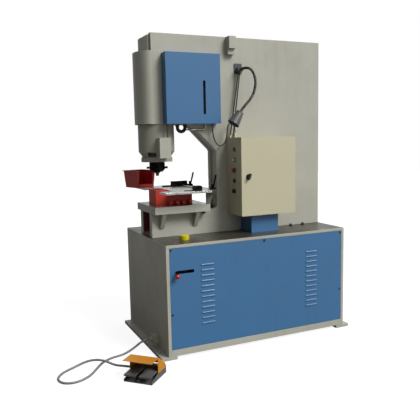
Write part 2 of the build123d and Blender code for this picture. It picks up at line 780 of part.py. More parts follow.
def make_frame_webs():
    """Plates welded between the two C plates, and the closing plate on the head's front."""
    rear = FRAME_REAR - WEB_INSET
    top = FRAME_TOP - WEB_INSET
    throat = THROAT_X + WEB_INSET
    corner_z = UPPER_JAW_BOTTOM - THROAT_CHAMFER
    webs = [
        block(rear - WEB_THICK, rear, -PLATE_INNER, PLATE_INNER, CABINET_TOP, top - WEB_THICK),
        block(UPPER_JAW_X, rear, -PLATE_INNER, PLATE_INNER, top - WEB_THICK, top),
        block(throat, throat + WEB_THICK, -PLATE_INNER, PLATE_INNER, LOWER_JAW_TOP, corner_z),
    ]
    start = (THROAT_X - THROAT_CHAMFER, UPPER_JAW_BOTTOM + WEB_INSET)
    slope = (
        start,
        (throat, corner_z + SEAT),
        (throat + WEB_THICK, corner_z + SEAT),
        (start[0] + WEB_THICK, UPPER_JAW_BOTTOM + WEB_INSET),
    )
    webs.append(plate_xz(slope, -PLATE_INNER, PLATE_INNER))
    middle_z = FRAME_TOP - CLOSING_PLATE_DROP - CLOSING_PLATE_HEIGHT
    webs.append(block(UPPER_JAW_X - CLOSING_PLATE_THICK, UPPER_JAW_X,
                      -CLOSING_PLATE_WIDTH / 2, CLOSING_PLATE_WIDTH / 2,
                      middle_z, middle_z + CLOSING_PLATE_HEIGHT))
    jaw_end = THROAT_X - THROAT_CHAMFER - SEAT
    under = UPPER_JAW_BOTTOM + WEB_INSET
    webs.append(block(RAM_X + CYLINDER_R + LOOSE, jaw_end, -PLATE_INNER, PLATE_INNER,
                      under, under + WEB_THICK))
    return Compound(children=webs)


def make_slug_chute():
    """Sloping plate between the lower jaws that leads the slugs out at the left end."""
    low_x = LOWER_JAW_X + CHUTE_FOOT_INSET
    outline = (
        (low_x, CABINET_TOP),
        (low_x + CHUTE_RUN + CHUTE_THICK, CABINET_TOP),
        (low_x + CHUTE_RUN + CHUTE_THICK, LOWER_JAW_TOP),
        (low_x + CHUTE_RUN, LOWER_JAW_TOP),
        (low_x, CHUTE_LOW_Z),
    )
    return plate_xz(outline, -PLATE_INNER, PLATE_INNER)


def make_cylinder_guard():
    """Half-oval sheet in front of the head, its flanges lying on the plates' faces."""
    outer = PLATE_OUTER + GUARD_SHEET
    base = Plane(origin=(UPPER_JAW_X, 0, GUARD_BOTTOM))
    height = GUARD_TOP - GUARD_BOTTOM
    shell = extrude(base * Ellipse(GUARD_DEPTH, outer), height)
    hollow = extrude(base * Ellipse(GUARD_DEPTH - GUARD_SHEET, PLATE_OUTER), height)
    front = block(UPPER_JAW_X - GUARD_DEPTH, UPPER_JAW_X, -outer, outer, GUARD_BOTTOM, GUARD_TOP)
    guard = (shell - hollow) & front
    for y in (-outer, PLATE_OUTER):
        guard += block(UPPER_JAW_X, UPPER_JAW_X + GUARD_FLANGE, y, y + GUARD_SHEET, GUARD_BOTTOM, GUARD_TOP)
    lid_top = GUARD_TOP - GUARD_LID_DROP
    lid = block(UPPER_JAW_X - GUARD_DEPTH, UPPER_JAW_X, -outer, outer, lid_top - GUARD_SHEET, lid_top)
    return guard + (lid & hollow)


def make_ram_housing():
    """Guide body under the upper jaw: barrel, cone, neck and flange around the ram's bore."""
    bore = RAM_R + RUN
    profile = (
        (bore, FLANGE_BOTTOM_Z),
        (FLANGE_R, FLANGE_BOTTOM_Z),
        (FLANGE_R, FLANGE_TOP_Z),
        (NECK_R, FLANGE_TOP_Z),
        (NECK_R, NECK_TOP_Z),
        (HOUSING_R, HOUSING_WAIST_Z),
        (HOUSING_R, UPPER_JAW_BOTTOM),
        (bore, UPPER_JAW_BOTTOM),
    )
    housing = turned(profile, RAM_X, 0)
    turn = math.radians(WINDOW_TURN)
    centre = Vector(RAM_X + NECK_R * math.cos(turn), NECK_R * math.sin(turn),
                    WINDOW_BOTTOM_Z + WINDOW_HEIGHT / 2)
    depth = 2 * (NECK_R - RAM_R) - 4 * LOOSE
    window = Pos(centre) * Rot(0, 0, WINDOW_TURN) * Box(depth, WINDOW_WIDTH, WINDOW_HEIGHT)
    slot_low = TRIP_PIN_Z - STROKE
    half = TRIP_PIN_R + LOOSE
    slot = block(RAM_X - half, RAM_X + half, -HOUSING_R - LOOSE, -RAM_R / 2, slot_low, TRIP_PIN_Z)
    for z in (slot_low, TRIP_PIN_Z):
        slot += rod((RAM_X, -HOUSING_R - LOOSE, z), (RAM_X, -RAM_R / 2, z), half)
    return housing - window - slot


def make_cylinder_tube():
    """Hydraulic cylinder between the plates, bored for the piston and the ram."""
    lower = UPPER_JAW_BOTTOM + CYLINDER_END_WALL
    upper = CYLINDER_TOP - CYLINDER_END_WALL
    profile = (
        (RAM_R + RUN, UPPER_JAW_BOTTOM),
        (CYLINDER_R, UPPER_JAW_BOTTOM),
        (CYLINDER_R, CYLINDER_TOP),
        (0, CYLINDER_TOP),
        (0, upper),
        (PISTON_R + RUN, upper),
        (PISTON_R + RUN, lower),
        (RAM_R + RUN, lower),
    )
    return turned(profile, RAM_X, 0)


def make_ram():
    """Piston and ram in one piece, with the nose that carries the punch."""
    top = CYLINDER_TOP - CYLINDER_END_WALL - LOOSE
    profile = (
        (0, RAM_END_Z),
        (RAM_END_R, RAM_END_Z),
        (RAM_END_R, RAM_SHOULDER_Z),
        (RAM_R, RAM_SHOULDER_Z + (RAM_R - RAM_END_R)),
        (RAM_R, top - PISTON_LENGTH),
        (PISTON_R, top - PISTON_LENGTH),
        (PISTON_R, top),
        (0, top),
    )
    return turned(profile, RAM_X, 0)


def make_trip_rod():
    """Pin in the ram, its clamp block, and the rod with two collars that trips the switches."""
    arm_x = (RAM_X + TRIP_ROD_X) / 2
    half = abs(TRIP_ROD_X - RAM_X) / 2 + TRIP_ROD_R + LOOSE * 3
    part = rod((RAM_X, -RAM_R, TRIP_PIN_Z), (RAM_X, TRIP_ROD_Y, TRIP_PIN_Z), TRIP_PIN_R)
    part -= Pos(RAM_X, 0, TRIP_PIN_Z) * Cylinder(RAM_R, TRIP_PIN_R * 4)
    part += rod((RAM_X, -RAM_R / 2, TRIP_PIN_Z), (RAM_X, -RAM_R - LOOSE, TRIP_PIN_Z), TRIP_PIN_R) - \
        Pos(RAM_X, 0, TRIP_PIN_Z) * Cylinder(RAM_R, TRIP_PIN_R * 4)
    part += block(arm_x - half, arm_x + half, TRIP_ROD_Y - TRIP_ROD_R * 2, TRIP_ROD_Y + TRIP_ROD_R * 2,
                  TRIP_PIN_Z - TRIP_PIN_R - LOOSE, TRIP_PIN_Z + TRIP_PIN_R + LOOSE)
    part += rod((TRIP_ROD_X, TRIP_ROD_Y, TRIP_PIN_Z), (TRIP_ROD_X, TRIP_ROD_Y, TRIP_ROD_TOP), TRIP_ROD_R)
    for z in (TRIP_COLLAR_LOW_Z, TRIP_COLLAR_HIGH_Z):
        part += rod((TRIP_ROD_X, TRIP_ROD_Y, z), (TRIP_ROD_X, TRIP_ROD_Y, z + TRIP_COLLAR_HEIGHT),
                    TRIP_COLLAR_R)
    return part


def make_trip_box():
    """Sheet box on the housing's near side, around the trip arm's travel."""
    box = block(TRIP_BOX_LEFT, TRIP_BOX_RIGHT, TRIP_BOX_FRONT, -NECK_R / 2, TRIP_BOX_BOTTOM, TRIP_BOX_TOP)
    sheet = TRIP_BOX_SHEET
    box -= block(TRIP_BOX_LEFT + sheet, TRIP_BOX_RIGHT - sheet, TRIP_BOX_FRONT + sheet, 0,
                 TRIP_BOX_BOTTOM + sheet, TRIP_BOX_TOP - sheet)
    barrel = (
        (0, FLANGE_BOTTOM_Z),
        (FLANGE_R + SEAT, FLANGE_BOTTOM_Z),
        (FLANGE_R + SEAT, FLANGE_TOP_Z + SEAT),
        (NECK_R + SEAT, FLANGE_TOP_Z + SEAT),
        (NECK_R + SEAT, NECK_TOP_Z),
        (HOUSING_R + SEAT, HOUSING_WAIST_Z),
        (HOUSING_R + SEAT, UPPER_JAW_BOTTOM),
        (0, UPPER_JAW_BOTTOM),
    )
    box -= turned(barrel, RAM_X, 0)
    box -= rod((TRIP_ROD_X, TRIP_ROD_Y, TRIP_PIN_Z), (TRIP_ROD_X, TRIP_ROD_Y, UPPER_JAW_BOTTOM),
               TRIP_ROD_R + LOOSE)
    return box


def make_punch_nut():
    """Coupling nut around the ram's nose, with grip grooves and two tommy bars."""
    bore = RAM_END_R + RUN
    cone = RAM_R + LOOSE
    profile = (
        (PUNCH_NECK_R + LOOSE, NUT_BOTTOM_Z),
        (NUT_LOW_R, NUT_BOTTOM_Z),
        (NUT_R, NUT_BOTTOM_Z + NUT_R - NUT_LOW_R),
        (NUT_R, NUT_TOP_Z),
        (cone, NUT_TOP_Z),
        (cone, RAM_SHOULDER_Z + (RAM_R - RAM_END_R)),
        (bore, RAM_SHOULDER_Z - LOOSE),
        (bore, NUT_SHOULDER_Z),
        (PUNCH_NECK_R + LOOSE, NUT_SHOULDER_Z),
    )
    nut = turned(profile, RAM_X, 0)
    turn = math.radians(NUT_HANDLE_TURN)
    for side in (-1, 1):
        near = (RAM_X + side * (RAM_R - LOOSE * 3) * math.cos(turn), side * (RAM_R - LOOSE * 3) * math.sin(turn))
        far = (RAM_X + side * NUT_HANDLE_REACH * math.cos(turn), side * NUT_HANDLE_REACH * math.sin(turn))
        nut += rod((*near, NUT_HANDLE_Z), (*far, NUT_HANDLE_Z), NUT_HANDLE_R)
    for index in range(NUT_SLOT_COUNT):
        angle = turn + math.pi * (index + 0.5) / NUT_SLOT_COUNT * 2
        x = RAM_X + (NUT_R + LOOSE) * math.cos(angle)
        y = (NUT_R + LOOSE) * math.sin(angle)
        nut -= rod((x, y, NUT_HANDLE_Z + NUT_HANDLE_R), (x, y, NUT_TOP_Z + LOOSE), NUT_SLOT_R)
    return nut


def make_punch():
    """Punch with its head held in the nut against the ram's end."""
    head_low = NUT_SHOULDER_Z + GAP
    profile = (
        (0, PUNCH_TIP_Z),
        (PUNCH_TIP_R, PUNCH_TIP_Z),
        (PUNCH_TIP_R, PUNCH_CONE_Z - (PUNCH_NECK_R - PUNCH_TIP_R)),
        (PUNCH_NECK_R, PUNCH_CONE_Z),
        (PUNCH_NECK_R, head_low),
        (PUNCH_HEAD_R, head_low),
        (PUNCH_HEAD_R, RAM_END_Z),
        (0, RAM_END_Z),
    )
    return turned(profile, RAM_X, 0)


def make_bolster_plate():
    """Thick plate across the lower jaw, with tapped end holes, the slug hole and its gussets."""
    half = BOLSTER_WIDTH / 2
    plate = block(BOLSTER_LEFT, BOLSTER_RIGHT, -half, half, LOWER_JAW_TOP, BOLSTER_TOP)
    plate -= rod((RAM_X, 0, LOWER_JAW_TOP - LOOSE), (RAM_X, 0, BOLSTER_TOP + LOOSE), SLUG_HOLE_R)
    middle = (LOWER_JAW_TOP + BOLSTER_TOP) / 2
    for y in (-BOLSTER_HOLE_FROM_MIDDLE, BOLSTER_HOLE_FROM_MIDDLE):
        plate -= rod((BOLSTER_LEFT - LOOSE, y, middle), (BOLSTER_LEFT + BOLSTER_HOLE_DEPTH, y, middle),
                     BOLSTER_HOLE_R)
    for x in (GUSSET_FIRST_X, GUSSET_FIRST_X + GUSSET_SPACING):
        for side in (-1, 1):
            face = side * PLATE_OUTER
            outline = (
                (face, LOWER_JAW_TOP),
                (face + side * GUSSET_REACH, LOWER_JAW_TOP),
                (face + side * GUSSET_TOE, LOWER_JAW_TOP - GUSSET_HEIGHT),
                (face, LOWER_JAW_TOP - GUSSET_HEIGHT),
            )
            plate += plate_yz(outline, x - GUSSET_THICK / 2, x + GUSSET_THICK / 2)
    return plate


def make_die_holder():
    """Stepped block on the bolster: a raised end around the die and a low end under the table."""
    half = HOLDER_WIDTH / 2
    holder = block(HOLDER_LEFT, HOLDER_RIGHT, -half, half, BOLSTER_TOP, HOLDER_LOW_TOP)
    holder += block(HOLDER_LEFT, HOLDER_LEFT + HOLDER_HIGH_LENGTH, -half, half, BOLSTER_TOP, HOLDER_TOP)
    seat = DIE_TOP - DIE_HEIGHT
    holder -= rod((RAM_X, 0, seat), (RAM_X, 0, HOLDER_TOP + LOOSE), DIE_R + SEAT)
    holder -= rod((RAM_X, 0, BOLSTER_TOP - LOOSE), (RAM_X, 0, seat + LOOSE), SLUG_HOLE_R)
    for x, z in set_screw_places():
        holder -= rod((x, -half - LOOSE, z), (x, -half + SET_SCREW_DEPTH + LOOSE, z), SET_SCREW_R + SEAT)
    return holder


def set_screw_places():
    """X and Z of the square-head screws in the die holder's near face."""
    last = HOLDER_RIGHT - SET_SCREW_LAST_INSET
    z = BOLSTER_TOP + SET_SCREW_UP
    return [(last - index * SET_SCREW_SPACING, z) for index in range(SET_SCREW_COUNT)]


def make_die_screws():
    """Square-head screws, each with its shank in the die holder."""
    face = -HOLDER_WIDTH / 2
    half = SET_SCREW_HEAD / 2
    screws = []
    for x, z in set_screw_places():
        head = block(x - half, x + half, face - SET_SCREW_PROUD, face, z - half, z + half)
        head = chamfer(head.faces().sort_by(Axis.Y)[0].edges(), LOOSE * 2)
        screws.append(head + rod((x, face - LOOSE, z), (x, face + SET_SCREW_DEPTH, z), SET_SCREW_R))
    return Compound(children=screws)


def make_die():
    """Hardened die, relieved below its cutting land."""
    seat = DIE_TOP - DIE_HEIGHT
    profile = (
        (DIE_RELIEF_R, seat),
        (DIE_R, seat),
        (DIE_R, DIE_TOP - LOOSE),
        (DIE_R - LOOSE, DIE_TOP),
        (DIE_HOLE_R, DIE_TOP),
        (DIE_HOLE_R, DIE_TOP - DIE_LAND),
        (DIE_RELIEF_R, DIE_TOP - DIE_LAND - (DIE_RELIEF_R - DIE_HOLE_R)),
    )
    return turned(profile, RAM_X, 0)


def make_work_table():
    """Ground table plate with the open notch at the die, gauge slots and two wedge brackets."""
    outline = (
        (TABLE_LEFT, TABLE_NEAR),
        (TABLE_RIGHT - TABLE_CUT_X, TABLE_NEAR),
        (TABLE_RIGHT, TABLE_NEAR + TABLE_CUT_Y),
        (TABLE_RIGHT, TABLE_FAR),
        (TABLE_LEFT, TABLE_FAR),
    )
    table = plate_xy(outline, TABLE_UNDER, TABLE_TOP)
    table -= block(TABLE_LEFT - LOOSE, TABLE_LEFT + TABLE_NOTCH_LENGTH, -TABLE_NOTCH_HALF, TABLE_NOTCH_HALF,
                   TABLE_UNDER - LOOSE, TABLE_TOP + LOOSE)
    low = TABLE_UNDER - LOOSE
    high = TABLE_TOP + LOOSE
    half = TABLE_SLOT_LENGTH / 2
    fence_slot_y = FENCE_Y + FENCE_TRAVEL / 2
    table -= block(FENCE_X - TABLE_SLOT_R, FENCE_X + TABLE_SLOT_R, fence_slot_y - half,
                   fence_slot_y + half, low, high)
    stop_slot_x = STOP_X - STOP_TRAVEL / 2
    table -= block(stop_slot_x - half, stop_slot_x + half, STOP_Y - TABLE_SLOT_R, STOP_Y + TABLE_SLOT_R,
                   low, high)
    return table + make_bracket(-1) + make_bracket(1)


def make_bracket(side):
    """Wedge bracket under the table, standing on the bolster's right corner."""
    right = BOLSTER_RIGHT
    outline = (
        (right - BRACKET_FOOT, BOLSTER_TOP),
        (right, BOLSTER_TOP),
        (right - BRACKET_FOOT + BRACKET_HEAD, TABLE_UNDER),
        (right - BRACKET_FOOT, TABLE_UNDER),
    )
    outer = side * (BOLSTER_WIDTH / 2 - BRACKET_INSET)
    inner = outer - side * BRACKET_THICK
    return plate_xz(outline, min(outer, inner), max(outer, inner))


def make_gauge_rail():
    """Flat bright bar on the table between the fence and the side stop."""
    bar = block(RAIL_X - RAIL_WIDTH / 2, RAIL_X + RAIL_WIDTH / 2, RAIL_NEAR_Y, RAIL_FAR_Y,
                TABLE_TOP, TABLE_TOP + RAIL_THICK_Z)
    return chamfer(bar.faces().sort_by(Axis.Z)[-1].edges(), LOOSE)


def make_rear_fence():
    """Rear fence: an upright bar with a low strip, its foot for the clamp and its slot key."""
    base = TABLE_TOP + GAP
    left = FENCE_X - FENCE_LENGTH / 2
    right = FENCE_X + FENCE_LENGTH / 2
    half = FENCE_THICK / 2
    fence = block(left, right, FENCE_Y - half, FENCE_Y + half, base, base + FENCE_HEIGHT)
    fence += block(left - FENCE_STRIP_LENGTH, left, FENCE_Y - half / 2, FENCE_Y + half / 2,
                   base, base + FENCE_STRIP_HEIGHT)
    fence += block(right, CLAMP_A_X + CLAMP_FOOT_X / 2, FENCE_Y - CLAMP_FOOT_Y / 2,
                   FENCE_Y + CLAMP_FOOT_Y / 2, base, base + CLAMP_FOOT_Z)
    fence += rod((CLAMP_A_X, FENCE_Y, base), (CLAMP_A_X, FENCE_Y, base + CLAMP_FOOT_Z + CLAMP_HUB_HEIGHT),
                 CLAMP_PIN_R)
    key = TABLE_SLOT_R - LOOSE
    fence += block(FENCE_X - key, FENCE_X + key, FENCE_Y - key, FENCE_Y + key, TABLE_UNDER, base)
    return fence


def make_side_stop():
    """Side stop block with its thin strip and slot key."""
    base = TABLE_TOP + GAP
    half = STOP_LENGTH / 2
    deep = STOP_DEPTH / 2
    stop = block(STOP_X - half, STOP_X + half, STOP_Y - deep, STOP_Y + deep, base, base + STOP_HEIGHT)
    stop = chamfer(stop.faces().sort_by(Axis.Z)[-1].edges().filter_by(Axis.Y), STOP_HEIGHT / 5)
    left = STOP_X - half
    stop += block(left - STOP_STRIP_LENGTH, left, STOP_Y - deep / 4, STOP_Y + deep / 4,
                  base, base + STOP_STRIP_HEIGHT)
    key = TABLE_SLOT_R - LOOSE
    stop += block(STOP_X - key, STOP_X + key, STOP_Y - key, STOP_Y + key, TABLE_UNDER, base)
    return stop


def make_clamp_foot():
    """Foot of the near clamp on the table, with its threaded pin."""
    base = TABLE_TOP
    foot = block(CLAMP_B_X - CLAMP_FOOT_X / 2, CLAMP_B_X + CLAMP_FOOT_X / 2, CLAMP_B_Y - CLAMP_FOOT_Y / 2,
                 CLAMP_B_Y + CLAMP_FOOT_Y / 2, base, base + CLAMP_FOOT_Z)
    pin_top = base + CLAMP_FOOT_Z + CLAMP_HUB_HEIGHT
    return foot + rod((CLAMP_B_X, CLAMP_B_Y, base), (CLAMP_B_X, CLAMP_B_Y, pin_top), CLAMP_PIN_R)


def make_clamp_lever(x, y, base):
    """Clamp handle: a hub on its pin and a leaning arm."""
    low = base + GAP
    high = base + CLAMP_HUB_HEIGHT
    lever = rod((x, y, low), (x, y, high), CLAMP_HUB_R)
    arm_foot = (x + CLAMP_HUB_R / 2 + CLAMP_PIN_R / 2, y, high - CLAMP_ARM_R)
    arm_tip = (x + CLAMP_REACH, y, base + CLAMP_RISE)
    lever += rod(arm_foot, arm_tip, CLAMP_ARM_R)
    lever += Pos(*arm_tip) * Sphere(CLAMP_ARM_R)
    return lever - rod((x, y, base - LOOSE), (x, y, base + CLAMP_RISE), CLAMP_PIN_R + RUN)


def make_scrap_bin():
    """Plastic bin with a flared rim and a low mouth on its near side."""
    half = BIN_SIDE / 2
    low = half - BIN_DRAFT
    outer = loft([Plane.XY * Rectangle(2 * low, 2 * low),
                  Plane.XY.offset(BIN_HEIGHT) * Rectangle(2 * half, 2 * half)])
    cavity = loft([Plane.XY.offset(BIN_WALL) * Rectangle(2 * (low - BIN_WALL), 2 * (low - BIN_WALL)),
                   Plane.XY.offset(BIN_HEIGHT + LOOSE) * Rectangle(2 * (half - BIN_WALL), 2 * (half - BIN_WALL))])
    rim = Pos(0, 0, BIN_HEIGHT - BIN_RIM_THICK / 2) * Box(2 * (half + BIN_RIM), 2 * (half + BIN_RIM),
                                                         BIN_RIM_THICK)
    mouth = block(-low + BIN_MOUTH_POST, low - BIN_MOUTH_POST, -half - BIN_RIM - LOOSE, -low + BIN_DRAFT,
                  BIN_MOUTH_HEIGHT, BIN_HEIGHT + LOOSE)
    scoop = outer + rim - cavity - mouth
    return Pos(BIN_CORNER_X, BIN_CORNER_Y, TABLE_TOP) * Rot(0, 0, BIN_TURN) * Pos(low, low, 0) * scoop


def make_side_cover():
    """Five-sided sheet cover with its sight slot and the holes of rod and cable."""
    sheet = COVER_SHEET
    cover = block(COVER_LEFT, COVER_RIGHT, COVER_FRONT, -PLATE_OUTER, COVER_BOTTOM, COVER_TOP)
    cover -= block(COVER_LEFT + sheet, COVER_RIGHT - sheet, COVER_FRONT + sheet, -PLATE_OUTER + LOOSE,
                   COVER_BOTTOM + sheet, COVER_TOP - sheet)
    half = COVER_SLOT_WIDTH / 2
    low = COVER_SLOT_BOTTOM + half
    high = COVER_SLOT_BOTTOM + COVER_SLOT_HEIGHT - half
    slot = block(COVER_SLOT_X - half, COVER_SLOT_X + half, COVER_FRONT - LOOSE, COVER_FRONT + sheet + LOOSE,
                 low, high)
    for z in (low, high):
        slot += rod((COVER_SLOT_X, COVER_FRONT - LOOSE, z), (COVER_SLOT_X, COVER_FRONT + sheet + LOOSE, z), half)
    cover -= slot
    cover -= rod((TRIP_ROD_X, TRIP_ROD_Y, COVER_BOTTOM - LOOSE), (TRIP_ROD_X, TRIP_ROD_Y, COVER_BOTTOM + sheet * 2),
                 TRIP_ROD_R + LOOSE)
    pipe_y = -PLATE_OUTER - PIPE_FROM_PLATE
    cover -= rod((PIPE_LAST_X, pipe_y, COVER_BOTTOM - LOOSE), (PIPE_LAST_X, pipe_y, COVER_BOTTOM + sheet * 2),
                 PIPE_R + LOOSE)
    exit_x, exit_y, exit_z = SWITCH_CABLE_ROUTE[0]
    cover += rod((exit_x, exit_y, exit_z), (exit_x, exit_y, COVER_BOTTOM + sheet), GLAND_R)
    return cover


def make_limit_switches():
    """Two limit switches on the frame plate, beside the trip rod."""
    switches = []
    left = TRIP_ROD_X + SWITCH_FROM_ROD
    for z, arm_z in ((SWITCH_LOW_Z, SWITCH_LOW_Z + SWITCH_HEIGHT), (SWITCH_HIGH_Z, SWITCH_HIGH_Z)):
        body = block(left, left + SWITCH_LENGTH, -PLATE_OUTER - SWITCH_DEPTH, -PLATE_OUTER,
                     z, z + SWITCH_HEIGHT)
        y = -PLATE_OUTER - SWITCH_DEPTH / 2
        tip = (TRIP_ROD_X + TRIP_COLLAR_R + LOOSE * 5, y, arm_z)
        body += rod((left + SWITCH_LENGTH / 2, y, z + SWITCH_HEIGHT / 2), tip, SWITCH_DEPTH / 8)
        switches.append(body)
    return Compound(children=switches)


def make_cylinder_hoses():
    """Hose between two fittings under the jaw, and the thin pipe along the near plate."""
    top = UPPER_JAW_BOTTOM + WEB_INSET
    last_x = HOSE_FIRST_X + 2 * HOSE_BEND_R
    bottom = UPPER_JAW_BOTTOM - HOSE_DROP
    route = ((HOSE_FIRST_X, HOSE_Y, top - FITTING_HEIGHT), (HOSE_FIRST_X, HOSE_Y, bottom),
             (last_x, HOSE_Y, bottom), (last_x, HOSE_Y, top - FITTING_HEIGHT))
    hose = bent_pipe(route, HOSE_BEND_R - LOOSE, HOSE_R)
    for x in (HOSE_FIRST_X, last_x):
        hose += hexagon(x, HOSE_Y, top - FITTING_HEIGHT - LOOSE, top, FITTING_R)
    y = -PLATE_OUTER - PIPE_FROM_PLATE
    z = UPPER_JAW_BOTTOM - PIPE_DROP
    inside = COVER_BOTTOM + COVER_SHEET + PIPE_UNION_LENGTH
    pipe = bent_pipe(((PIPE_FIRST_X, -PLATE_INNER, z), (PIPE_FIRST_X, y, z), (PIPE_LAST_X, y, z),
                      (PIPE_LAST_X, y, inside)), PIPE_BEND_R - PIPE_R, PIPE_R)
    pipe += rod((PIPE_FIRST_X + PIPE_BEND_R, y, z), (PIPE_FIRST_X + PIPE_BEND_R + PIPE_UNION_LENGTH, y, z),
                PIPE_UNION_R)
    bridge = rod((PIPE_FIRST_X, HOSE_Y, z), (PIPE_FIRST_X, -PLATE_INNER, z), PIPE_R)
    return hose + pipe + bridge


def make_lifting_lugs():
    """Lifting blocks near the top of both plates, each tapped for an eye bolt."""
    lugs = []
    x0 = LUG_X - LUG_LENGTH / 2
    x1 = LUG_X + LUG_LENGTH / 2
    low = FRAME_TOP - LUG_HEIGHT
    for side in (-1, 1):
        face = side * PLATE_OUTER
        out = face + side * LUG_PROUD
        foot = face + side * LUG_FOOT_PROUD
        lug = block(x0, x1, min(face, out), max(face, out), low + LUG_FOOT_HEIGHT, FRAME_TOP)
        lug += block(x0, x1, min(face, foot), max(face, foot), low, low + LUG_FOOT_HEIGHT)
        middle = (face + out) / 2
        lug -= rod((LUG_X, middle, FRAME_TOP - LUG_THREAD_DEPTH), (LUG_X, middle, FRAME_TOP + LOOSE),
                   LUG_THREAD_R)
        lugs.append(lug)
    return Compound(children=lugs)


def lead_ends():
    """Top and bottom points of the lamp's two leads, each inside its gland."""
    y = -PLATE_OUTER - LAMP_PLATE_THICK - GLAND_R - LEAD_R
    top_z = LAMP_BASE_Z - LAMP_BOSS_R + LEAD_R
    foot_z = BOX_TOP + GLAND_HEIGHT / 2
    ends = []
    for index in range(2):
        top = (LAMP_BASE_X + (0.5 - index) * LEAD_TOP_SPACING, y, top_z)
        foot = (BOX_LEFT + LEAD_FIRST_X - LEAD_FOOT_SPACING * index, y, foot_z)
        ends.append((top, foot))
    return ends


def make_control_box():
    """Sheet enclosure body, open at the front, with wall glands on top and its hinge leaves."""
    sheet = BOX_SHEET
    body = block(BOX_LEFT, BOX_RIGHT, BODY_FRONT, BOX_BACK, BOX_BOTTOM, BOX_TOP)
    body -= block(BOX_LEFT + sheet, BOX_RIGHT - sheet, BODY_FRONT - LOOSE, BOX_BACK - sheet,
                  BOX_BOTTOM + sheet, BOX_TOP - sheet)
    for z in BUTTON_Z:
        body -= rod((BOX_LEFT - LOOSE, BUTTON_Y, z), (BOX_LEFT + sheet + LOOSE, BUTTON_Y, z), BARREL_R + SEAT)
    middle = -PLATE_OUTER - PEDESTAL_DEPTH / 2
    body -= block(PEDESTAL_X - DUCT_HOLE_LENGTH / 2, PEDESTAL_X + DUCT_HOLE_LENGTH / 2,
                  middle - DUCT_HOLE_WIDTH / 2, middle + DUCT_HOLE_WIDTH / 2,
                  BOX_BOTTOM - LOOSE, BOX_BOTTOM + sheet + LOOSE)
    for top, (x, y, z) in lead_ends():
        body += rod((x, y, BOX_TOP - LOOSE), (x, y, BOX_TOP + GLAND_HEIGHT), GLAND_R)
        body -= rod((x, y, z), top, LEAD_R)
    x, y, z = SWITCH_CABLE_ROUTE[-1]
    body += rod((x, y, BOX_TOP - LOOSE), (x, y, z), GLAND_R - LOOSE)
    for z in (HINGE_LOW_Z, HINGE_HIGH_Z):
        knuckle = rod((HINGE_X, DOOR_BACK, z), (HINGE_X, DOOR_BACK, z + HINGE_HEIGHT), HINGE_R)
        knuckle += rod((HINGE_X, DOOR_BACK, z), (HINGE_X, DOOR_BACK, z + 2 * HINGE_HEIGHT), HINGE_PIN_R)
        knuckle += block(BOX_RIGHT, HINGE_X - HINGE_R / 2, BODY_FRONT + DOOR_GAP, BODY_FRONT + DOOR_DEPTH,
                         z, z + HINGE_HEIGHT)
        body += knuckle + block(HINGE_X - HINGE_R, HINGE_X - HINGE_R / 2, DOOR_BACK, BODY_FRONT + DOOR_DEPTH,
                                z, z + HINGE_HEIGHT)
    return body


def make_control_door():
    """Pan-shaped door hung on two knuckles at its right edge, bored for the lock."""
    sheet = BOX_SHEET
    door = block(BOX_LEFT, BOX_RIGHT, BOX_FRONT, DOOR_BACK, BOX_BOTTOM, BOX_TOP)
    door -= block(BOX_LEFT + sheet, BOX_RIGHT - sheet, BOX_FRONT + sheet, DOOR_BACK + LOOSE,
                  BOX_BOTTOM + sheet, BOX_TOP - sheet)
    door -= rod((LOCK_X, BOX_FRONT - LOOSE, LOCK_Z), (LOCK_X, BOX_FRONT + sheet + LOOSE, LOCK_Z),
                LOCK_STEM_R + RUN)
    for z in (HINGE_LOW_Z, HINGE_HIGH_Z):
        low = z + HINGE_HEIGHT + GAP
        high = z + 2 * HINGE_HEIGHT
        leaf = block(BOX_RIGHT, HINGE_X - HINGE_R / 2, BOX_FRONT + DOOR_GAP, DOOR_BACK - DOOR_GAP, low, high)
        leaf += rod((HINGE_X, DOOR_BACK, low), (HINGE_X, DOOR_BACK, high), HINGE_R)
        leaf += block(HINGE_X - HINGE_R, HINGE_X - HINGE_R / 2, BOX_FRONT + DOOR_DEPTH / 2, DOOR_BACK, low, high)
        leaf -= rod((HINGE_X, DOOR_BACK, low - LOOSE), (HINGE_X, DOOR_BACK, high + LOOSE), HINGE_PIN_R + RUN)
        door += leaf
    return door


def make_door_lock():
    """Wing knob, stem and short cam of the door's lock."""
    front = BOX_FRONT - GAP
    plate_front = front - LOOSE * 4
    wing_front = front - LOCK_WING_PROUD
    lock = rod((LOCK_X, plate_front, LOCK_Z), (LOCK_X, front, LOCK_Z), LOCK_R)
    lock += rod((LOCK_X, wing_front, LOCK_Z), (LOCK_X, BOX_FRONT + DOOR_DEPTH / 2, LOCK_Z), LOCK_STEM_R)
    wing = Box(LOCK_WING_WIDTH, LOCK_WING_PROUD - LOOSE * 4, LOCK_WING_LENGTH)
    wing = fillet(wing.edges().filter_by(Axis.Y), LOCK_WING_WIDTH / 3)
    lock += Pos(LOCK_X, (wing_front + plate_front) / 2, LOCK_Z) * Rot(0, LOCK_WING_TURN, 0) * wing
    cam_y = BOX_FRONT + DOOR_DEPTH / 2
    lock += block(LOCK_X - LOCK_STEM_R, LOCK_X + LOCK_STEM_R, cam_y - LOOSE * 2, cam_y,
                  LOCK_Z - LOCK_CAM_LENGTH, LOCK_Z + LOCK_STEM_R)
    return lock


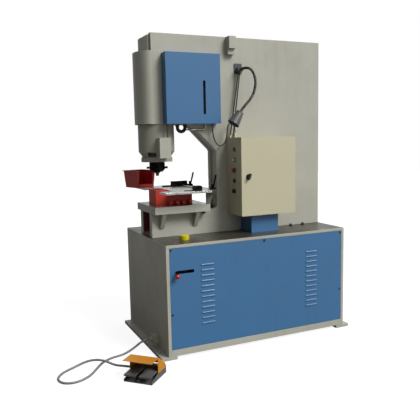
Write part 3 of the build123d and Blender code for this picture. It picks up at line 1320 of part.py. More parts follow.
def make_button_bezels():
    """Five bezels with their barrels through the wall and the contact blocks behind."""
    bezels = []
    inside = BOX_LEFT + BOX_SHEET
    for z in BUTTON_Z:
        outer = rod((BOX_LEFT - BEZEL_PROUD, BUTTON_Y, z), (BOX_LEFT, BUTTON_Y, z), BEZEL_R)
        outer += rod((BOX_LEFT - BEZEL_PROUD, BUTTON_Y, z), (BOX_LEFT + BARREL_DEPTH, BUTTON_Y, z), BARREL_R)
        outer += rod((inside, BUTTON_Y, z), (inside + LOOSE * 4, BUTTON_Y, z), BEZEL_R)
        half = CONTACT_SIZE / 2
        start = BOX_LEFT + BARREL_DEPTH
        outer += block(start, start + CONTACT_DEPTH, BUTTON_Y - half, BUTTON_Y + half, z - half, z + half)
        outer -= rod((BOX_LEFT - BEZEL_PROUD - LOOSE, BUTTON_Y, z), (start - LOOSE, BUTTON_Y, z), STEM_R + RUN)
        bezels.append(outer)
    return Compound(children=bezels)


def button_stem(z):
    """Guided stem of a button or knob, short of its contact by the travel."""
    end = BOX_LEFT + BARREL_DEPTH - BUTTON_TRAVEL - LOOSE * 2
    return rod((BOX_LEFT - BEZEL_PROUD - BUTTON_PROUD, BUTTON_Y, z), (end, BUTTON_Y, z), STEM_R)


def make_button(z):
    """Flush push button."""
    cap = button_stem(z)
    return chamfer(cap.faces().sort_by(Axis.X)[0].edges(), LOOSE)


def make_red_button():
    """Stop button with its mushroom head."""
    face = BOX_LEFT - BEZEL_PROUD - BUTTON_PROUD
    head = rod((face - MUSHROOM_THICK, BUTTON_Y, RED_Z), (face, BUTTON_Y, RED_Z), MUSHROOM_R)
    head = fillet(head.faces().sort_by(Axis.X)[0].edges(), MUSHROOM_THICK / 2)
    return head + button_stem(RED_Z)


def make_selector():
    """Selector knob with its finger wing."""
    face = BOX_LEFT - BEZEL_PROUD - GAP
    out = face - SELECTOR_PROUD
    middle = (face + out) / 2
    knob = rod((middle, BUTTON_Y, SELECTOR_Z), (face, BUTTON_Y, SELECTOR_Z), SELECTOR_R)
    knob += block(out, face, BUTTON_Y - SELECTOR_WING / 2, BUTTON_Y + SELECTOR_WING / 2,
                  SELECTOR_Z - SELECTOR_R, SELECTOR_Z + SELECTOR_R)
    end = BOX_LEFT + BARREL_DEPTH - LOOSE * 3
    return knob + rod((middle, BUTTON_Y, SELECTOR_Z), (end, BUTTON_Y, SELECTOR_Z), STEM_R)


def make_signal_lamp():
    """Domed lens seated in the top bezel."""
    face = BOX_LEFT - BEZEL_PROUD
    lens = rod((face - BUTTON_PROUD, BUTTON_Y, LAMP_Z), (BOX_LEFT + BARREL_DEPTH / 2, BUTTON_Y, LAMP_Z), STEM_R)
    return fillet(lens.faces().sort_by(Axis.X)[0].edges(), BUTTON_PROUD - LOOSE)


def make_control_gear():
    """Mounting plate on its standoffs, with contactors, transformer and terminals."""
    inset = GEAR_PLATE_INSET
    left = BOX_LEFT + inset * 2
    right = BOX_RIGHT - inset
    low = BOX_BOTTOM + inset
    high = BOX_TOP - inset
    wall = BOX_BACK - BOX_SHEET
    back = wall - GEAR_STANDOFF
    face = back - GEAR_PLATE_THICK
    plate = block(left, right, face, back, low, high)
    for x in (left + inset, right - inset):
        for z in (low + inset, high - inset):
            plate += rod((x, back, z), (x, wall, z), GEAR_STANDOFF_R)
    pieces = [plate]
    contactor_z = high - inset - CONTACTOR_HEIGHT
    for index in range(CONTACTOR_COUNT):
        x = left + inset + index * (CONTACTOR_WIDTH + LOOSE * 10)
        pieces.append(block(x, x + CONTACTOR_WIDTH, face - CONTACTOR_DEPTH, face,
                            contactor_z, contactor_z + CONTACTOR_HEIGHT))
    transformer_z = contactor_z - inset - TRANSFORMER_HEIGHT
    transformer_x = left + inset
    pieces.append(block(transformer_x, transformer_x + TRANSFORMER_WIDTH, face - TRANSFORMER_DEPTH, face,
                        transformer_z, transformer_z + TRANSFORMER_HEIGHT))
    terminal_z = transformer_z - inset - TERMINAL_HEIGHT
    pieces.append(block(transformer_x, transformer_x + TERMINAL_WIDTH, face - TERMINAL_DEPTH, face,
                        terminal_z, terminal_z + TERMINAL_HEIGHT))
    return Compound(children=pieces)


def make_box_pedestal():
    """Sheet duct between the cabinet top and the enclosure."""
    near = -PLATE_OUTER - PEDESTAL_DEPTH
    left = PEDESTAL_X - PEDESTAL_LENGTH / 2
    right = PEDESTAL_X + PEDESTAL_LENGTH / 2
    sheet = PEDESTAL_SHEET
    duct = block(left, right, near, -PLATE_OUTER, CABINET_TOP, BOX_BOTTOM)
    return duct - block(left + sheet, right - sheet, near + sheet, -PLATE_OUTER - sheet,
                        CABINET_TOP - LOOSE, BOX_BOTTOM + LOOSE)


def shade_point(along, side=0.0):
    """Point on the shade's tilted axis plane, measured down from its top centre."""
    tilt = math.radians(SHADE_TILT)
    x, y, z = SHADE_TOP
    return (x - along * math.sin(tilt) + side * math.cos(tilt), y, z - along * math.cos(tilt) - side * math.sin(tilt))


def make_lamp_stand():
    """Mounting plate and boss on the frame, with the gooseneck up to the shade."""
    plate_y = -PLATE_OUTER - LAMP_PLATE_THICK
    half = LAMP_PLATE_LENGTH / 2
    stand = block(LAMP_BASE_X - half, LAMP_BASE_X + half, plate_y, -PLATE_OUTER,
                  LAMP_BASE_Z - LAMP_PLATE_HEIGHT / 2, LAMP_PLATE_Z + LAMP_PLATE_HEIGHT / 2)
    boss_end = plate_y - LAMP_BOSS_LENGTH
    stand += rod((LAMP_BASE_X, plate_y, LAMP_BASE_Z), (LAMP_BASE_X, boss_end, LAMP_BASE_Z), LAMP_BOSS_R)
    tail = Vector(*shade_point(-SHADE_LENGTH / 3))
    route = [(LAMP_BASE_X + dx, boss_end + dy, LAMP_BASE_Z + dz) for dx, dy, dz in NECK_ROUTE]
    route += [(tail.X, tail.Y, tail.Z), shade_point(0)]
    path = FilletPolyline(*route, radius=bend_radii(route))
    stand += sweep(Plane(origin=path @ 0, z_dir=path % 0) * Circle(NECK_TUBE_R), path=path)
    for top, foot in lead_ends():
        stand -= rod(foot, top, LEAD_R)
    return stand


def make_lamp_shade():
    """Spun shade: closed cap and conical wall, open at its mouth."""
    wall = SHADE_WALL
    profile = (
        (0, 0),
        (SHADE_TOP_R - wall, 0),
        (SHADE_TOP_R, -wall),
        (SHADE_TOP_R, -SHADE_CAP),
        (SHADE_MOUTH_R, -SHADE_LENGTH),
        (SHADE_MOUTH_R - wall, -SHADE_LENGTH),
        (SHADE_TOP_R - wall, -SHADE_CAP),
        (0, -SHADE_CAP),
    )
    return Pos(*SHADE_TOP) * Rot(0, SHADE_TILT, 0) * turned(profile)


def make_lamp_bulb():
    """Reflector bulb in its holder, inside the shade."""
    top = -SHADE_CAP
    profile = (
        (0, top),
        (BULB_NECK_R, top),
        (BULB_NECK_R, top - BULB_LENGTH / 3),
        (BULB_R, top - BULB_LENGTH / 2),
        (BULB_R, top - BULB_LENGTH + BULB_R / 2),
        (BULB_R / 2, top - BULB_LENGTH),
        (0, top - BULB_LENGTH),
    )
    return Pos(*SHADE_TOP) * Rot(0, SHADE_TILT, 0) * turned(profile)


def make_lamp_leads():
    """Black and grey leads, straight from the lamp's boss to the enclosure."""
    return Compound(children=[rod(top, foot, LEAD_R) for top, foot in lead_ends()])


def make_oil_tank():
    """Welded tank on the cabinet floor, with the filler neck through the top plate."""
    tank = block(TANK_LEFT, TANK_LEFT + TANK_LENGTH, TANK_NEAR, TANK_NEAR + TANK_WIDTH, TANK_BOTTOM, TANK_TOP)
    tank += rod((FILLER_X, FILLER_Y, TANK_TOP - LOOSE), (FILLER_X, FILLER_Y, CABINET_TOP + FILLER_PROUD),
                FILLER_TUBE_R)
    return tank - rod((FILLER_X, FILLER_Y, TANK_TOP), (FILLER_X, FILLER_Y, CABINET_TOP + FILLER_PROUD + LOOSE),
                      FILLER_BORE_R)


def make_filler_cap():
    """Ribbed cap turning on the filler neck."""
    low = CABINET_TOP + GAP
    high = low + CAP_HEIGHT
    cap = rod((FILLER_X, FILLER_Y, low), (FILLER_X, FILLER_Y, high), CAP_R)
    cap = fillet(cap.faces().sort_by(Axis.Z)[-1].edges(), CAP_R / 5)
    for index in range(CAP_RIB_COUNT):
        angle = 2 * math.pi * index / CAP_RIB_COUNT
        x = FILLER_X + CAP_R * math.cos(angle)
        y = FILLER_Y + CAP_R * math.sin(angle)
        cap -= rod((x, y, low - LOOSE), (x, y, high + LOOSE), CAP_RIB_R)
    return cap - rod((FILLER_X, FILLER_Y, low - LOOSE), (FILLER_X, FILLER_Y, high - CAP_TOP_WALL),
                     FILLER_TUBE_R + RUN)


def make_pump_motor():
    """Finned motor on its feet, the bell housing and the gear pump, as separate bodies."""
    left = MOTOR_X
    right = MOTOR_X + MOTOR_LENGTH
    floor = SKID_THICK + FLOOR_PLATE
    motor = rod((left, 0, MOTOR_AXIS_Z), (right, 0, MOTOR_AXIS_Z), MOTOR_R - MOTOR_RIB)
    for index in range(MOTOR_RIB_COUNT):
        turn = 360.0 * index / MOTOR_RIB_COUNT
        rib = Pos((left + right) / 2, 0, MOTOR_AXIS_Z) * Rot(turn, 0, 0) * Pos(0, 0, MOTOR_R - MOTOR_RIB) * \
            Box(MOTOR_LENGTH - MOTOR_RIB * 4, MOTOR_RIB / 2, MOTOR_RIB * 2)
        motor += rib
    motor += rod((right, 0, MOTOR_AXIS_Z), (right + MOTOR_FAN_LENGTH, 0, MOTOR_AXIS_Z), MOTOR_FAN_R)
    foot_left = left + (MOTOR_LENGTH - MOTOR_FOOT_LENGTH) / 2
    for side in (-1, 1):
        edge = side * MOTOR_FOOT_WIDTH / 2
        inner = edge - side * MOTOR_FOOT_WIDTH / 4
        motor += block(foot_left, foot_left + MOTOR_FOOT_LENGTH, min(edge, inner), max(edge, inner),
                       floor, MOTOR_AXIS_Z - MOTOR_R / 3)
    bell = rod((left - PUMP_BELL_LENGTH, 0, MOTOR_AXIS_Z), (left, 0, MOTOR_AXIS_Z), PUMP_BELL_R)
    half = PUMP_BODY / 2
    pump_right = left - PUMP_BELL_LENGTH
    pump = block(pump_right - PUMP_LENGTH, pump_right, -half, half, MOTOR_AXIS_Z - half, MOTOR_AXIS_Z + half)
    return Compound(children=[motor, bell, pump])


def make_hand_valve():
    """Valve on the tank, stepped down in front around the lever's upright pin."""
    near = LEVER_PIVOT_Y - VALVE_WIDTH / 6
    far = near + VALVE_WIDTH
    half = VALVE_LENGTH / 2
    lever_seat = LEVER_Z - LEVER_HUB_HEIGHT / 2 - GAP
    valve = block(LEVER_PIVOT_X - half, LEVER_PIVOT_X + half, near, far, TANK_TOP, lever_seat)
    valve += block(LEVER_PIVOT_X - half, LEVER_PIVOT_X + half, near + VALVE_STEP, far, TANK_TOP,
                   TANK_TOP + VALVE_HEIGHT)
    return valve + rod((LEVER_PIVOT_X, LEVER_PIVOT_Y, TANK_TOP),
                       (LEVER_PIVOT_X, LEVER_PIVOT_Y, LEVER_Z + LEVER_HUB_HEIGHT), LEVER_PIN_R)


def make_valve_lever():
    """Lever through the panel's slot, bent down to its ball knob."""
    turn = math.radians(LEVER_TURN)
    reach = (LEVER_PIVOT_Y - FRONT + LEVER_OUT) / math.cos(turn)
    tip = (LEVER_PIVOT_X - reach * math.sin(turn), LEVER_PIVOT_Y - reach * math.cos(turn), LEVER_Z)
    half = LEVER_HUB_HEIGHT / 2
    lever = rod((LEVER_PIVOT_X, LEVER_PIVOT_Y, LEVER_Z - half), (LEVER_PIVOT_X, LEVER_PIVOT_Y, LEVER_Z + half),
                LEVER_HUB_R)
    lever += rod((LEVER_PIVOT_X, LEVER_PIVOT_Y, LEVER_Z), tip, LEVER_R)
    lever += Pos(*tip) * Sphere(LEVER_R)
    lever += rod(tip, (tip[0], tip[1], LEVER_Z - LEVER_DROP), LEVER_R)
    lever += Pos(tip[0], tip[1], LEVER_Z - LEVER_DROP) * Sphere(LEVER_BALL_R)
    return lever - rod((LEVER_PIVOT_X, LEVER_PIVOT_Y, LEVER_Z - half - LOOSE),
                       (LEVER_PIVOT_X, LEVER_PIVOT_Y, LEVER_Z + half + LOOSE), LEVER_PIN_R + RUN)


def on_floor(part):
    """Places a piece of the foot switch on the floor, turned as it lies."""
    return Pos(FOOT_X, FOOT_Y, 0) * Rot(0, 0, FOOT_TURN) * part


def make_foot_base():
    """Cast tray of the foot switch: floor, cheeks, middle rib, switch case, pin and inlet."""
    half = FOOT_WIDTH / 2
    toe = -FOOT_LENGTH / 2
    rear = FOOT_LENGTH / 2
    case = rear - FOOT_CASE_LENGTH
    base = block(-half, half, toe, rear, 0, FOOT_FLOOR)
    cheek = ((toe, 0), (rear, 0), (rear, FOOT_REAR_HEIGHT), (case, FOOT_REAR_HEIGHT), (toe, FOOT_TOE_HEIGHT))
    base += plate_yz(cheek, -half, -half + FOOT_CHEEK)
    base += plate_yz(cheek, half - FOOT_CHEEK, half)
    base += block(-half, half, case, rear, 0, FOOT_REAR_HEIGHT)
    rib = ((toe, 0), (case, 0), (case, FOOT_REAR_HEIGHT), (PEDAL_PIN_Y - PEDAL_BOSS_R, FOOT_REAR_HEIGHT),
           (toe, FOOT_TOE_HEIGHT))
    base += plate_yz(rib, -FOOT_RIB / 2, FOOT_RIB / 2)
    base += rod((-half, PEDAL_PIN_Y, PEDAL_PIN_Z), (half, PEDAL_PIN_Y, PEDAL_PIN_Z), PEDAL_PIN_R)
    base += rod((-half - INLET_LENGTH, INLET_Y, INLET_Z), (-half, INLET_Y, INLET_Z), INLET_R)
    return on_floor(base)


def make_pedal(side):
    """Pressed pedal with a toe lip, hung on the pin by two bosses."""
    inner = side * PEDAL_INNER
    outer = side * (FOOT_WIDTH / 2 - FOOT_CHEEK - PEDAL_SIDE_GAP)
    x0 = min(inner, outer)
    x1 = max(inner, outer)
    rear_y = PEDAL_PIN_Y
    rear_z = PEDAL_PIN_Z + PEDAL_BOSS_R
    outline = (
        (PEDAL_TOE_Y, PEDAL_TOE_Z),
        (rear_y, rear_z),
        (rear_y, rear_z - PEDAL_THICK),
        (PEDAL_TOE_Y + PEDAL_THICK, PEDAL_TOE_Z - PEDAL_THICK),
        (PEDAL_TOE_Y + PEDAL_THICK, PEDAL_TOE_Z - PEDAL_LIP),
        (PEDAL_TOE_Y, PEDAL_TOE_Z - PEDAL_LIP),
    )
    pedal = plate_yz(outline, x0, x1)
    middle = (x0 + x1) / 2
    half = PEDAL_BOSS_LENGTH / 2
    pedal += rod((middle - half, PEDAL_PIN_Y, PEDAL_PIN_Z), (middle + half, PEDAL_PIN_Y, PEDAL_PIN_Z),
                 PEDAL_BOSS_R)
    pedal -= rod((x0 - LOOSE, PEDAL_PIN_Y, PEDAL_PIN_Z), (x1 + LOOSE, PEDAL_PIN_Y, PEDAL_PIN_Z),
                 PEDAL_PIN_R + RUN)
    return on_floor(pedal)


def make_foot_hood():
    """Folded sheet hood over the pedals, its cheeks outside the tray."""
    half = FOOT_WIDTH / 2
    sheet = HOOD_SHEET
    out = half + sheet
    hood = block(-out, out, HOOD_FRONT_Y, 0, HOOD_TOP_Z - sheet, HOOD_TOP_Z)
    rear = ((0, HOOD_TOP_Z), (HOOD_REAR_Y, HOOD_REAR_Z), (HOOD_REAR_Y - sheet, HOOD_REAR_Z - sheet),
            (0, HOOD_TOP_Z - sheet))
    hood += plate_yz(rear, -out, out)
    low = FOOT_REAR_HEIGHT - HOOD_LAP
    cheek = ((HOOD_CHEEK_Y, low), (HOOD_REAR_Y, low), (HOOD_REAR_Y, HOOD_REAR_Z), (0, HOOD_TOP_Z),
             (HOOD_CHEEK_Y, HOOD_TOP_Z))
    hood += plate_yz(cheek, -out, -half)
    hood += plate_yz(cheek, half, out)
    return on_floor(hood)


PARTS = {
    "skids": make_skids(),
    "cabinet_walls": make_cabinet_walls(),
    "cabinet_floor": make_cabinet_floor(),
    "cabinet_top": make_cabinet_top(),
    "front_panel": make_front_panel(),
    "machine_screws": make_machine_screws(),
    "frame_plate_near": make_frame_plate(-PLATE_OUTER),
    "frame_plate_far": make_frame_plate(PLATE_INNER),
    "frame_webs": make_frame_webs(),
    "slug_chute": make_slug_chute(),
    "cylinder_guard": make_cylinder_guard(),
    "ram_housing": make_ram_housing(),
    "cylinder_tube": make_cylinder_tube(),
    "trip_box": make_trip_box(),
    "bolster_plate": make_bolster_plate(),
    "die_holder": make_die_holder(),
    "die": make_die(),
    "die_screws": make_die_screws(),
    "work_table": make_work_table(),
    "gauge_rail": make_gauge_rail(),
    "clamp_foot": make_clamp_foot(),
    "scrap_bin": make_scrap_bin(),
    "side_cover": make_side_cover(),
    "limit_switches": make_limit_switches(),
    "cylinder_hoses": make_cylinder_hoses(),
    "lifting_lugs": make_lifting_lugs(),
    "control_box": make_control_box(),
    "control_gear": make_control_gear(),
    "box_pedestal": make_box_pedestal(),
    "button_bezels": make_button_bezels(),
    "signal_lamp": make_signal_lamp(),
    "lamp_stand": make_lamp_stand(),
    "lamp_shade": make_lamp_shade(),
    "lamp_bulb": make_lamp_bulb(),
    "lamp_leads": make_lamp_leads(),
    "switch_cable": cord(SWITCH_CABLE_ROUTE, SWITCH_CABLE_D),
    "oil_tank": make_oil_tank(),
    "pump_motor": make_pump_motor(),
    "hand_valve": make_hand_valve(),
    "foot_base": make_foot_base(),
    "foot_hood": make_foot_hood(),
    "foot_cable": cord(FOOT_CABLE_ROUTE, FOOT_CABLE_D),
    "ram": make_ram(),
    "trip_rod": make_trip_rod(),
    "punch_nut": make_punch_nut(),
    "punch": make_punch(),
    "control_door": make_control_door(),
    "door_lock": make_door_lock(),
    "white_button": make_button(WHITE_Z),
    "red_button": make_red_button(),
    "green_button": make_button(GREEN_Z),
    "selector_knob": make_selector(),
    "valve_lever": make_valve_lever(),
    "filler_cap": make_filler_cap(),
    "left_pedal": make_pedal(-1),
    "right_pedal": make_pedal(1),
    "rear_fence": make_rear_fence(),
    "side_stop": make_side_stop(),
    "fence_clamp": make_clamp_lever(CLAMP_A_X, FENCE_Y, TABLE_TOP + GAP + CLAMP_FOOT_Z),
    "table_clamp": make_clamp_lever(CLAMP_B_X, CLAMP_B_Y, TABLE_TOP + CLAMP_FOOT_Z),
}

for name, part in PARTS.items():
    export_step(part, f"parts/{name}.step")
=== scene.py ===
import math

import bmesh
import bpy
from mathutils import Matrix, Vector


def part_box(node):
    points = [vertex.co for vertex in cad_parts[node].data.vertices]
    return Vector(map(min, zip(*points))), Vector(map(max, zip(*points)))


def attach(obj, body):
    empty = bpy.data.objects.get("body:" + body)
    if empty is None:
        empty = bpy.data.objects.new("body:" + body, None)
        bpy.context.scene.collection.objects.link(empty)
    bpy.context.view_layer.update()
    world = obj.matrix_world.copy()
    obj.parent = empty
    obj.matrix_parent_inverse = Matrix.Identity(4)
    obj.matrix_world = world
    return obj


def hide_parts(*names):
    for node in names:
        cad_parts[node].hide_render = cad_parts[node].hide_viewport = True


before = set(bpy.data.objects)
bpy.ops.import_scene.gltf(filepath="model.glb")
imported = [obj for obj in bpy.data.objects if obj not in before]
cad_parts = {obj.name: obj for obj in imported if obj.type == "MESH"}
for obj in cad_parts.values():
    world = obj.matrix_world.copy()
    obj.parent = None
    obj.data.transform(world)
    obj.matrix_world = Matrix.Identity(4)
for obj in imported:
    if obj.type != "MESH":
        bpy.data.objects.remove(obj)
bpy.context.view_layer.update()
scene = bpy.context.scene


# Cabinet: bent and welded 12 mm steel sides with a thick top plate, on two floor strips.
# Its grey-beige machine enamel was sprayed after welding, so it is one even coat with a slight
# orange peel, dulled by handling; the top plate's upper face is trodden and oily, and its dark
# brown-grey is partly painted shade.
MIX_FIRST, MIX_SECOND, MIX_RESULT = 6, 7, 2
ENAMEL_CLOUDS = 3.0       # per metre: the coat's tone drifts over about 330 mm
GRIME_RUNS_ACROSS = 26.0  # per metre: runs of grime stand about 38 mm apart
GRIME_RUNS_DOWN = 1.6     # per metre: and are about 600 mm long
ORANGE_PEEL = 320.0       # per metre: waves of about 3 mm
WELD_WITHIN = 0.00001     # corners closer than this are one
FLAT_WITHIN = math.radians(0.5)
CORNER_OVER = math.radians(35)
LEVEL_WITHIN = 0.0005


def linear(code):
    """Turns an sRGB hex colour into linear red, green, blue and alpha."""
    parts = [int(code[place:place + 2], 16) / 255 for place in (1, 3, 5)]
    return [
        part / 12.92 if part <= 0.04045 else ((part + 0.055) / 1.055) ** 2.4 for part in parts
    ] + [1.0]


def add(tree, kind, inputs=None, **settings):
    """Adds one node; each input is a plain value or another node's output."""
    node = tree.nodes.new(kind)
    for name, value in settings.items():
        setattr(node, name, value)
    for socket, value in (inputs or {}).items():
        if isinstance(value, bpy.types.NodeSocket):
            tree.links.new(value, node.inputs[socket])
        else:
            node.inputs[socket].default_value = value
    return node


def new_finish(name):
    """Starts a material: its tree, its shader and the piece's own coordinates in metres."""
    finish = bpy.data.materials.new(name)
    finish.use_nodes = True
    tree = finish.node_tree
    tree.nodes.clear()
    shader = add(tree, "ShaderNodeBsdfPrincipled")
    add(tree, "ShaderNodeOutputMaterial", {"Surface": shader.outputs["BSDF"]})
    place = add(tree, "ShaderNodeTexCoord").outputs["Object"]
    return finish, tree, shader, place


def machine_enamel(name, colour, grime, roughness=0.42, grime_share=0.35, peel=0.00006):
    """Sprayed enamel on steel: a soft cloudy tone, faint runs of grime and a wavy highlight."""
    finish, tree, shader, place = new_finish(name)
    cloud = add(tree, "ShaderNodeTexNoise", {
        "Vector": place, "Scale": ENAMEL_CLOUDS, "Detail": 5.0, "Roughness": 0.6,
    }).outputs["Fac"]
    tall = add(tree, "ShaderNodeMapping", {
        "Vector": place, "Scale": (GRIME_RUNS_ACROSS, GRIME_RUNS_ACROSS, GRIME_RUNS_DOWN),
    }).outputs["Vector"]
    runs = add(tree, "ShaderNodeTexNoise", {"Vector": tall, "Scale": 1.0, "Detail": 4.0})
    in_runs = add(tree, "ShaderNodeMapRange", {
        "Value": runs.outputs["Fac"], "From Min": 0.52, "From Max": 0.80,
    }).outputs["Result"]
    in_clouds = add(tree, "ShaderNodeMapRange", {
        "Value": cloud, "From Min": 0.40, "From Max": 0.75, "To Max": 0.6,
    }).outputs["Result"]
    dirt = add(tree, "ShaderNodeMath", {0: in_runs, 1: in_clouds, 2: in_clouds},
               operation="MULTIPLY_ADD")
    share = add(tree, "ShaderNodeMath", {0: dirt.outputs[0], 1: grime_share},
                operation="MULTIPLY", use_clamp=True)
    tone = add(tree, "ShaderNodeMix", {
        "Factor": share.outputs[0], MIX_FIRST: linear(colour), MIX_SECOND: linear(grime),
    }, data_type="RGBA")
    gloss = add(tree, "ShaderNodeMapRange", {
        "Value": cloud, "From Min": 0.3, "From Max": 0.7,
        "To Min": roughness - 0.06, "To Max": roughness + 0.10,
    })
    skin = add(tree, "ShaderNodeTexNoise", {"Vector": place, "Scale": ORANGE_PEEL, "Detail": 2.0})
    bump = add(tree, "ShaderNodeBump", {
        "Height": skin.outputs["Fac"], "Strength": 0.6, "Distance": peel,
    })
    tree.links.new(tone.outputs[MIX_RESULT], shader.inputs["Base Color"])
    tree.links.new(gloss.outputs["Result"], shader.inputs["Roughness"])
    tree.links.new(bump.outputs["Normal"], shader.inputs["Normal"])
    return finish


def finished(node, finish):
    """Gives a CAD piece its finish, and leaves its shape alone."""
    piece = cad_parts[node]
    piece.data.materials.clear()
    piece.data.materials.append(finish)
    return piece


def new_piece(name, data):
    """Puts a new object into the scene, at the origin."""
    piece = bpy.data.objects.new(name, data)
    scene.collection.objects.link(piece)
    return piece


def settled_mesh(piece):
    """The plain mesh that a piece's curve and modifiers come to."""
    depsgraph = bpy.context.evaluated_depsgraph_get()
    return bpy.data.meshes.new_from_object(piece.evaluated_get(depsgraph))


def eased(node, body, finish, edge, moves=(), recast=Matrix()):
    """Stands in for a CAD piece with its edges eased by a small radius, all in metres.

    Each move gives the low and high corners of a box and the shift of the corners inside it.
    """
    piece = new_piece(f"{node}_eased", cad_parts[node].data.copy())
    if "custom_normal" in piece.data.attributes:
        piece.data.attributes.remove(piece.data.attributes["custom_normal"])
    form = bmesh.new()
    form.from_mesh(piece.data)
    bmesh.ops.remove_doubles(form, verts=form.verts, dist=WELD_WITHIN)
    bmesh.ops.dissolve_limit(form, angle_limit=FLAT_WITHIN, verts=form.verts, edges=form.edges)
    bmesh.ops.transform(form, matrix=recast, verts=form.verts)
    for box_low, box_high, shift in moves:
        for vert in form.verts:
            if all(low <= part <= high for low, part, high in zip(box_low, vert.co, box_high)):
                vert.co += Vector(shift)
    for face in form.faces:
        face.smooth = True
    form.to_mesh(piece.data)
    form.free()
    bevel = piece.modifiers.new("Edges", "BEVEL")
    bevel.width = edge
    bevel.segments = 2
    bevel.limit_method = "ANGLE"
    bevel.angle_limit = CORNER_OVER
    bevel.harden_normals = True
    mesh = settled_mesh(piece)
    piece.modifiers.clear()
    piece.data = mesh
    piece.data.materials.clear()
    piece.data.materials.append(finish)
    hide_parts(node)
    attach(piece, body)
    return piece


def top_wear_and_shade(piece, finish, level):
    """Gives the upward faces at one height a finish of their own."""
    piece.data.materials.append(finish)
    for face in piece.data.polygons:
        if face.normal.z > 0.99 and abs(face.center.z - level) < LEVEL_WITHIN:
            face.material_index = 1


GREY_ENAMEL = machine_enamel("grey_machine_enamel", "#a3a296", "#67614f")
CABINET_EDGE = 0.0015
for name in ("skids", "cabinet_walls", "cabinet_floor"):
    eased(name, "machine", GREY_ENAMEL, CABINET_EDGE)
# The top face's dark brown-grey stands for oil grime and also for painted shade.
OILY_AND_SHADED_TOP_ENAMEL = machine_enamel(
    "oily_top_enamel_painted_shade", "#3a382f", "#231f17", roughness=0.32, grime_share=0.7)
cabinet_top = eased("cabinet_top", "machine", GREY_ENAMEL, CABINET_EDGE)
top_wear_and_shade(cabinet_top, OILY_AND_SHADED_TOP_ENAMEL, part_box("cabinet_top")[1].z)

# Front panel: 2 mm sheet with pressed louvres, held by screws around its edge.
# Blue enamel, a little glossier than the cabinet because it is sprayed lying flat.
BLUE_ENAMEL = machine_enamel("blue_enamel", "#3a6790", "#2b4a66", roughness=0.36, grime_share=0.3)
finished("front_panel", BLUE_ENAMEL)


# Screws of the panel and the frame's foot, and two hexagon bolts under the bolster's right end.
# Zinc-plated steel that has gone dull and dark: a soft metal sheen, broken up by stains.
METAL_GRAIN = 900.0       # per metre: turning and rolling marks of about 1 mm


def stained_steel(name, colour, stain, roughness, stain_size=0.02):
    """Bare or plated steel: metal with stains of a stated size in metres and fine marks."""
    finish, tree, shader, place = new_finish(name)
    patch = add(tree, "ShaderNodeTexNoise", {
        "Vector": place, "Scale": 1 / stain_size, "Detail": 6.0, "Roughness": 0.65,
    }).outputs["Fac"]
    mask = add(tree, "ShaderNodeMapRange", {"Value": patch, "From Min": 0.42, "From Max": 0.68})
    tone = add(tree, "ShaderNodeMix", {
        "Factor": mask.outputs["Result"], MIX_FIRST: linear(colour), MIX_SECOND: linear(stain),
    }, data_type="RGBA")
    gloss = add(tree, "ShaderNodeMapRange", {
        "Value": patch, "From Min": 0.3, "From Max": 0.7,
        "To Min": roughness - 0.08, "To Max": roughness + 0.12,
    })
    grain = add(tree, "ShaderNodeTexNoise", {"Vector": place, "Scale": METAL_GRAIN, "Detail": 2.0})
    bump = add(tree, "ShaderNodeBump", {
        "Height": grain.outputs["Fac"], "Strength": 0.4, "Distance": 0.00003,
    })
    shader.inputs["Metallic"].default_value = 1.0
    tree.links.new(tone.outputs[MIX_RESULT], shader.inputs["Base Color"])
    tree.links.new(gloss.outputs["Result"], shader.inputs["Roughness"])
    tree.links.new(bump.outputs["Normal"], shader.inputs["Normal"])
    return finish


def formed(name, form, finish):
    """Turns a bmesh into a piece of its own with its finish."""
    piece = new_piece(name, bpy.data.meshes.new(name))
    form.to_mesh(piece.data)
    form.free()
    piece.data.materials.append(finish)
    return piece


DULL_ZINC = stained_steel("dull_zinc_plating", "#57544c", "#2b2a26", 0.45)
finished("machine_screws", DULL_ZINC)
BOLT_CORNERS = 0.015
BOLT_HEAD = 0.014
BOLT_PLACES = ((-0.295, -0.165, 0.848), (-0.295, 0.165, 0.848))
bolts = bmesh.new()
for place in BOLT_PLACES:
    bmesh.ops.create_cone(
        bolts, cap_ends=True, segments=6, radius1=BOLT_CORNERS, radius2=BOLT_CORNERS,
        depth=BOLT_HEAD, matrix=Matrix.Translation(place))
bolster_bolts = formed("bolster_bolts", bolts, DULL_ZINC)
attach(bolster_bolts, "machine")

# Power pack inside the cabinet: welded oil tank, finned motor with its gear pump, and hand valve.
# Grey enamel on the tank, dark casting paint on the motor and valve.
CASTING_PAINT = machine_enamel(
    "dark_casting_paint", "#3d4144", "#222322", roughness=0.5, peel=0.00016)
finished("oil_tank", GREY_ENAMEL)
finished("pump_motor", CASTING_PAINT)
finished("hand_valve", CASTING_PAINT)


# Hand lever: a bent round bar of blackened steel with a red phenolic ball screwed on its end.
# The ball is moulded and polished, so it has a sharp highlight.
RESIN_CLOUDS = 45.0       # per metre: faint flow marks of about 22 mm
MOULD_GRAIN = 700.0       # per metre: mould texture of about 1.4 mm, coarse so that it shows


def moulded(name, colour, roughness, coat=0.0):
    """Moulded plastic: even colour with slight cloudiness and a faint texture."""
    finish, tree, shader, place = new_finish(name)
    cloud = add(tree, "ShaderNodeTexNoise", {"Vector": place, "Scale": RESIN_CLOUDS, "Detail": 3.0})
    darker = [part * 0.78 for part in linear(colour)[:3]] + [1.0]
    tone = add(tree, "ShaderNodeMix", {
        "Factor": cloud.outputs["Fac"], MIX_FIRST: linear(colour), MIX_SECOND: darker,
    }, data_type="RGBA")
    grain = add(tree, "ShaderNodeTexNoise", {"Vector": place, "Scale": MOULD_GRAIN, "Detail": 2.0})
    bump = add(tree, "ShaderNodeBump", {
        "Height": grain.outputs["Fac"], "Strength": 0.5, "Distance": 0.00002,
    })
    shader.inputs["Roughness"].default_value = roughness
    shader.inputs["Coat Weight"].default_value = coat
    tree.links.new(tone.outputs[MIX_RESULT], shader.inputs["Base Color"])
    tree.links.new(bump.outputs["Normal"], shader.inputs["Normal"])
    return finish


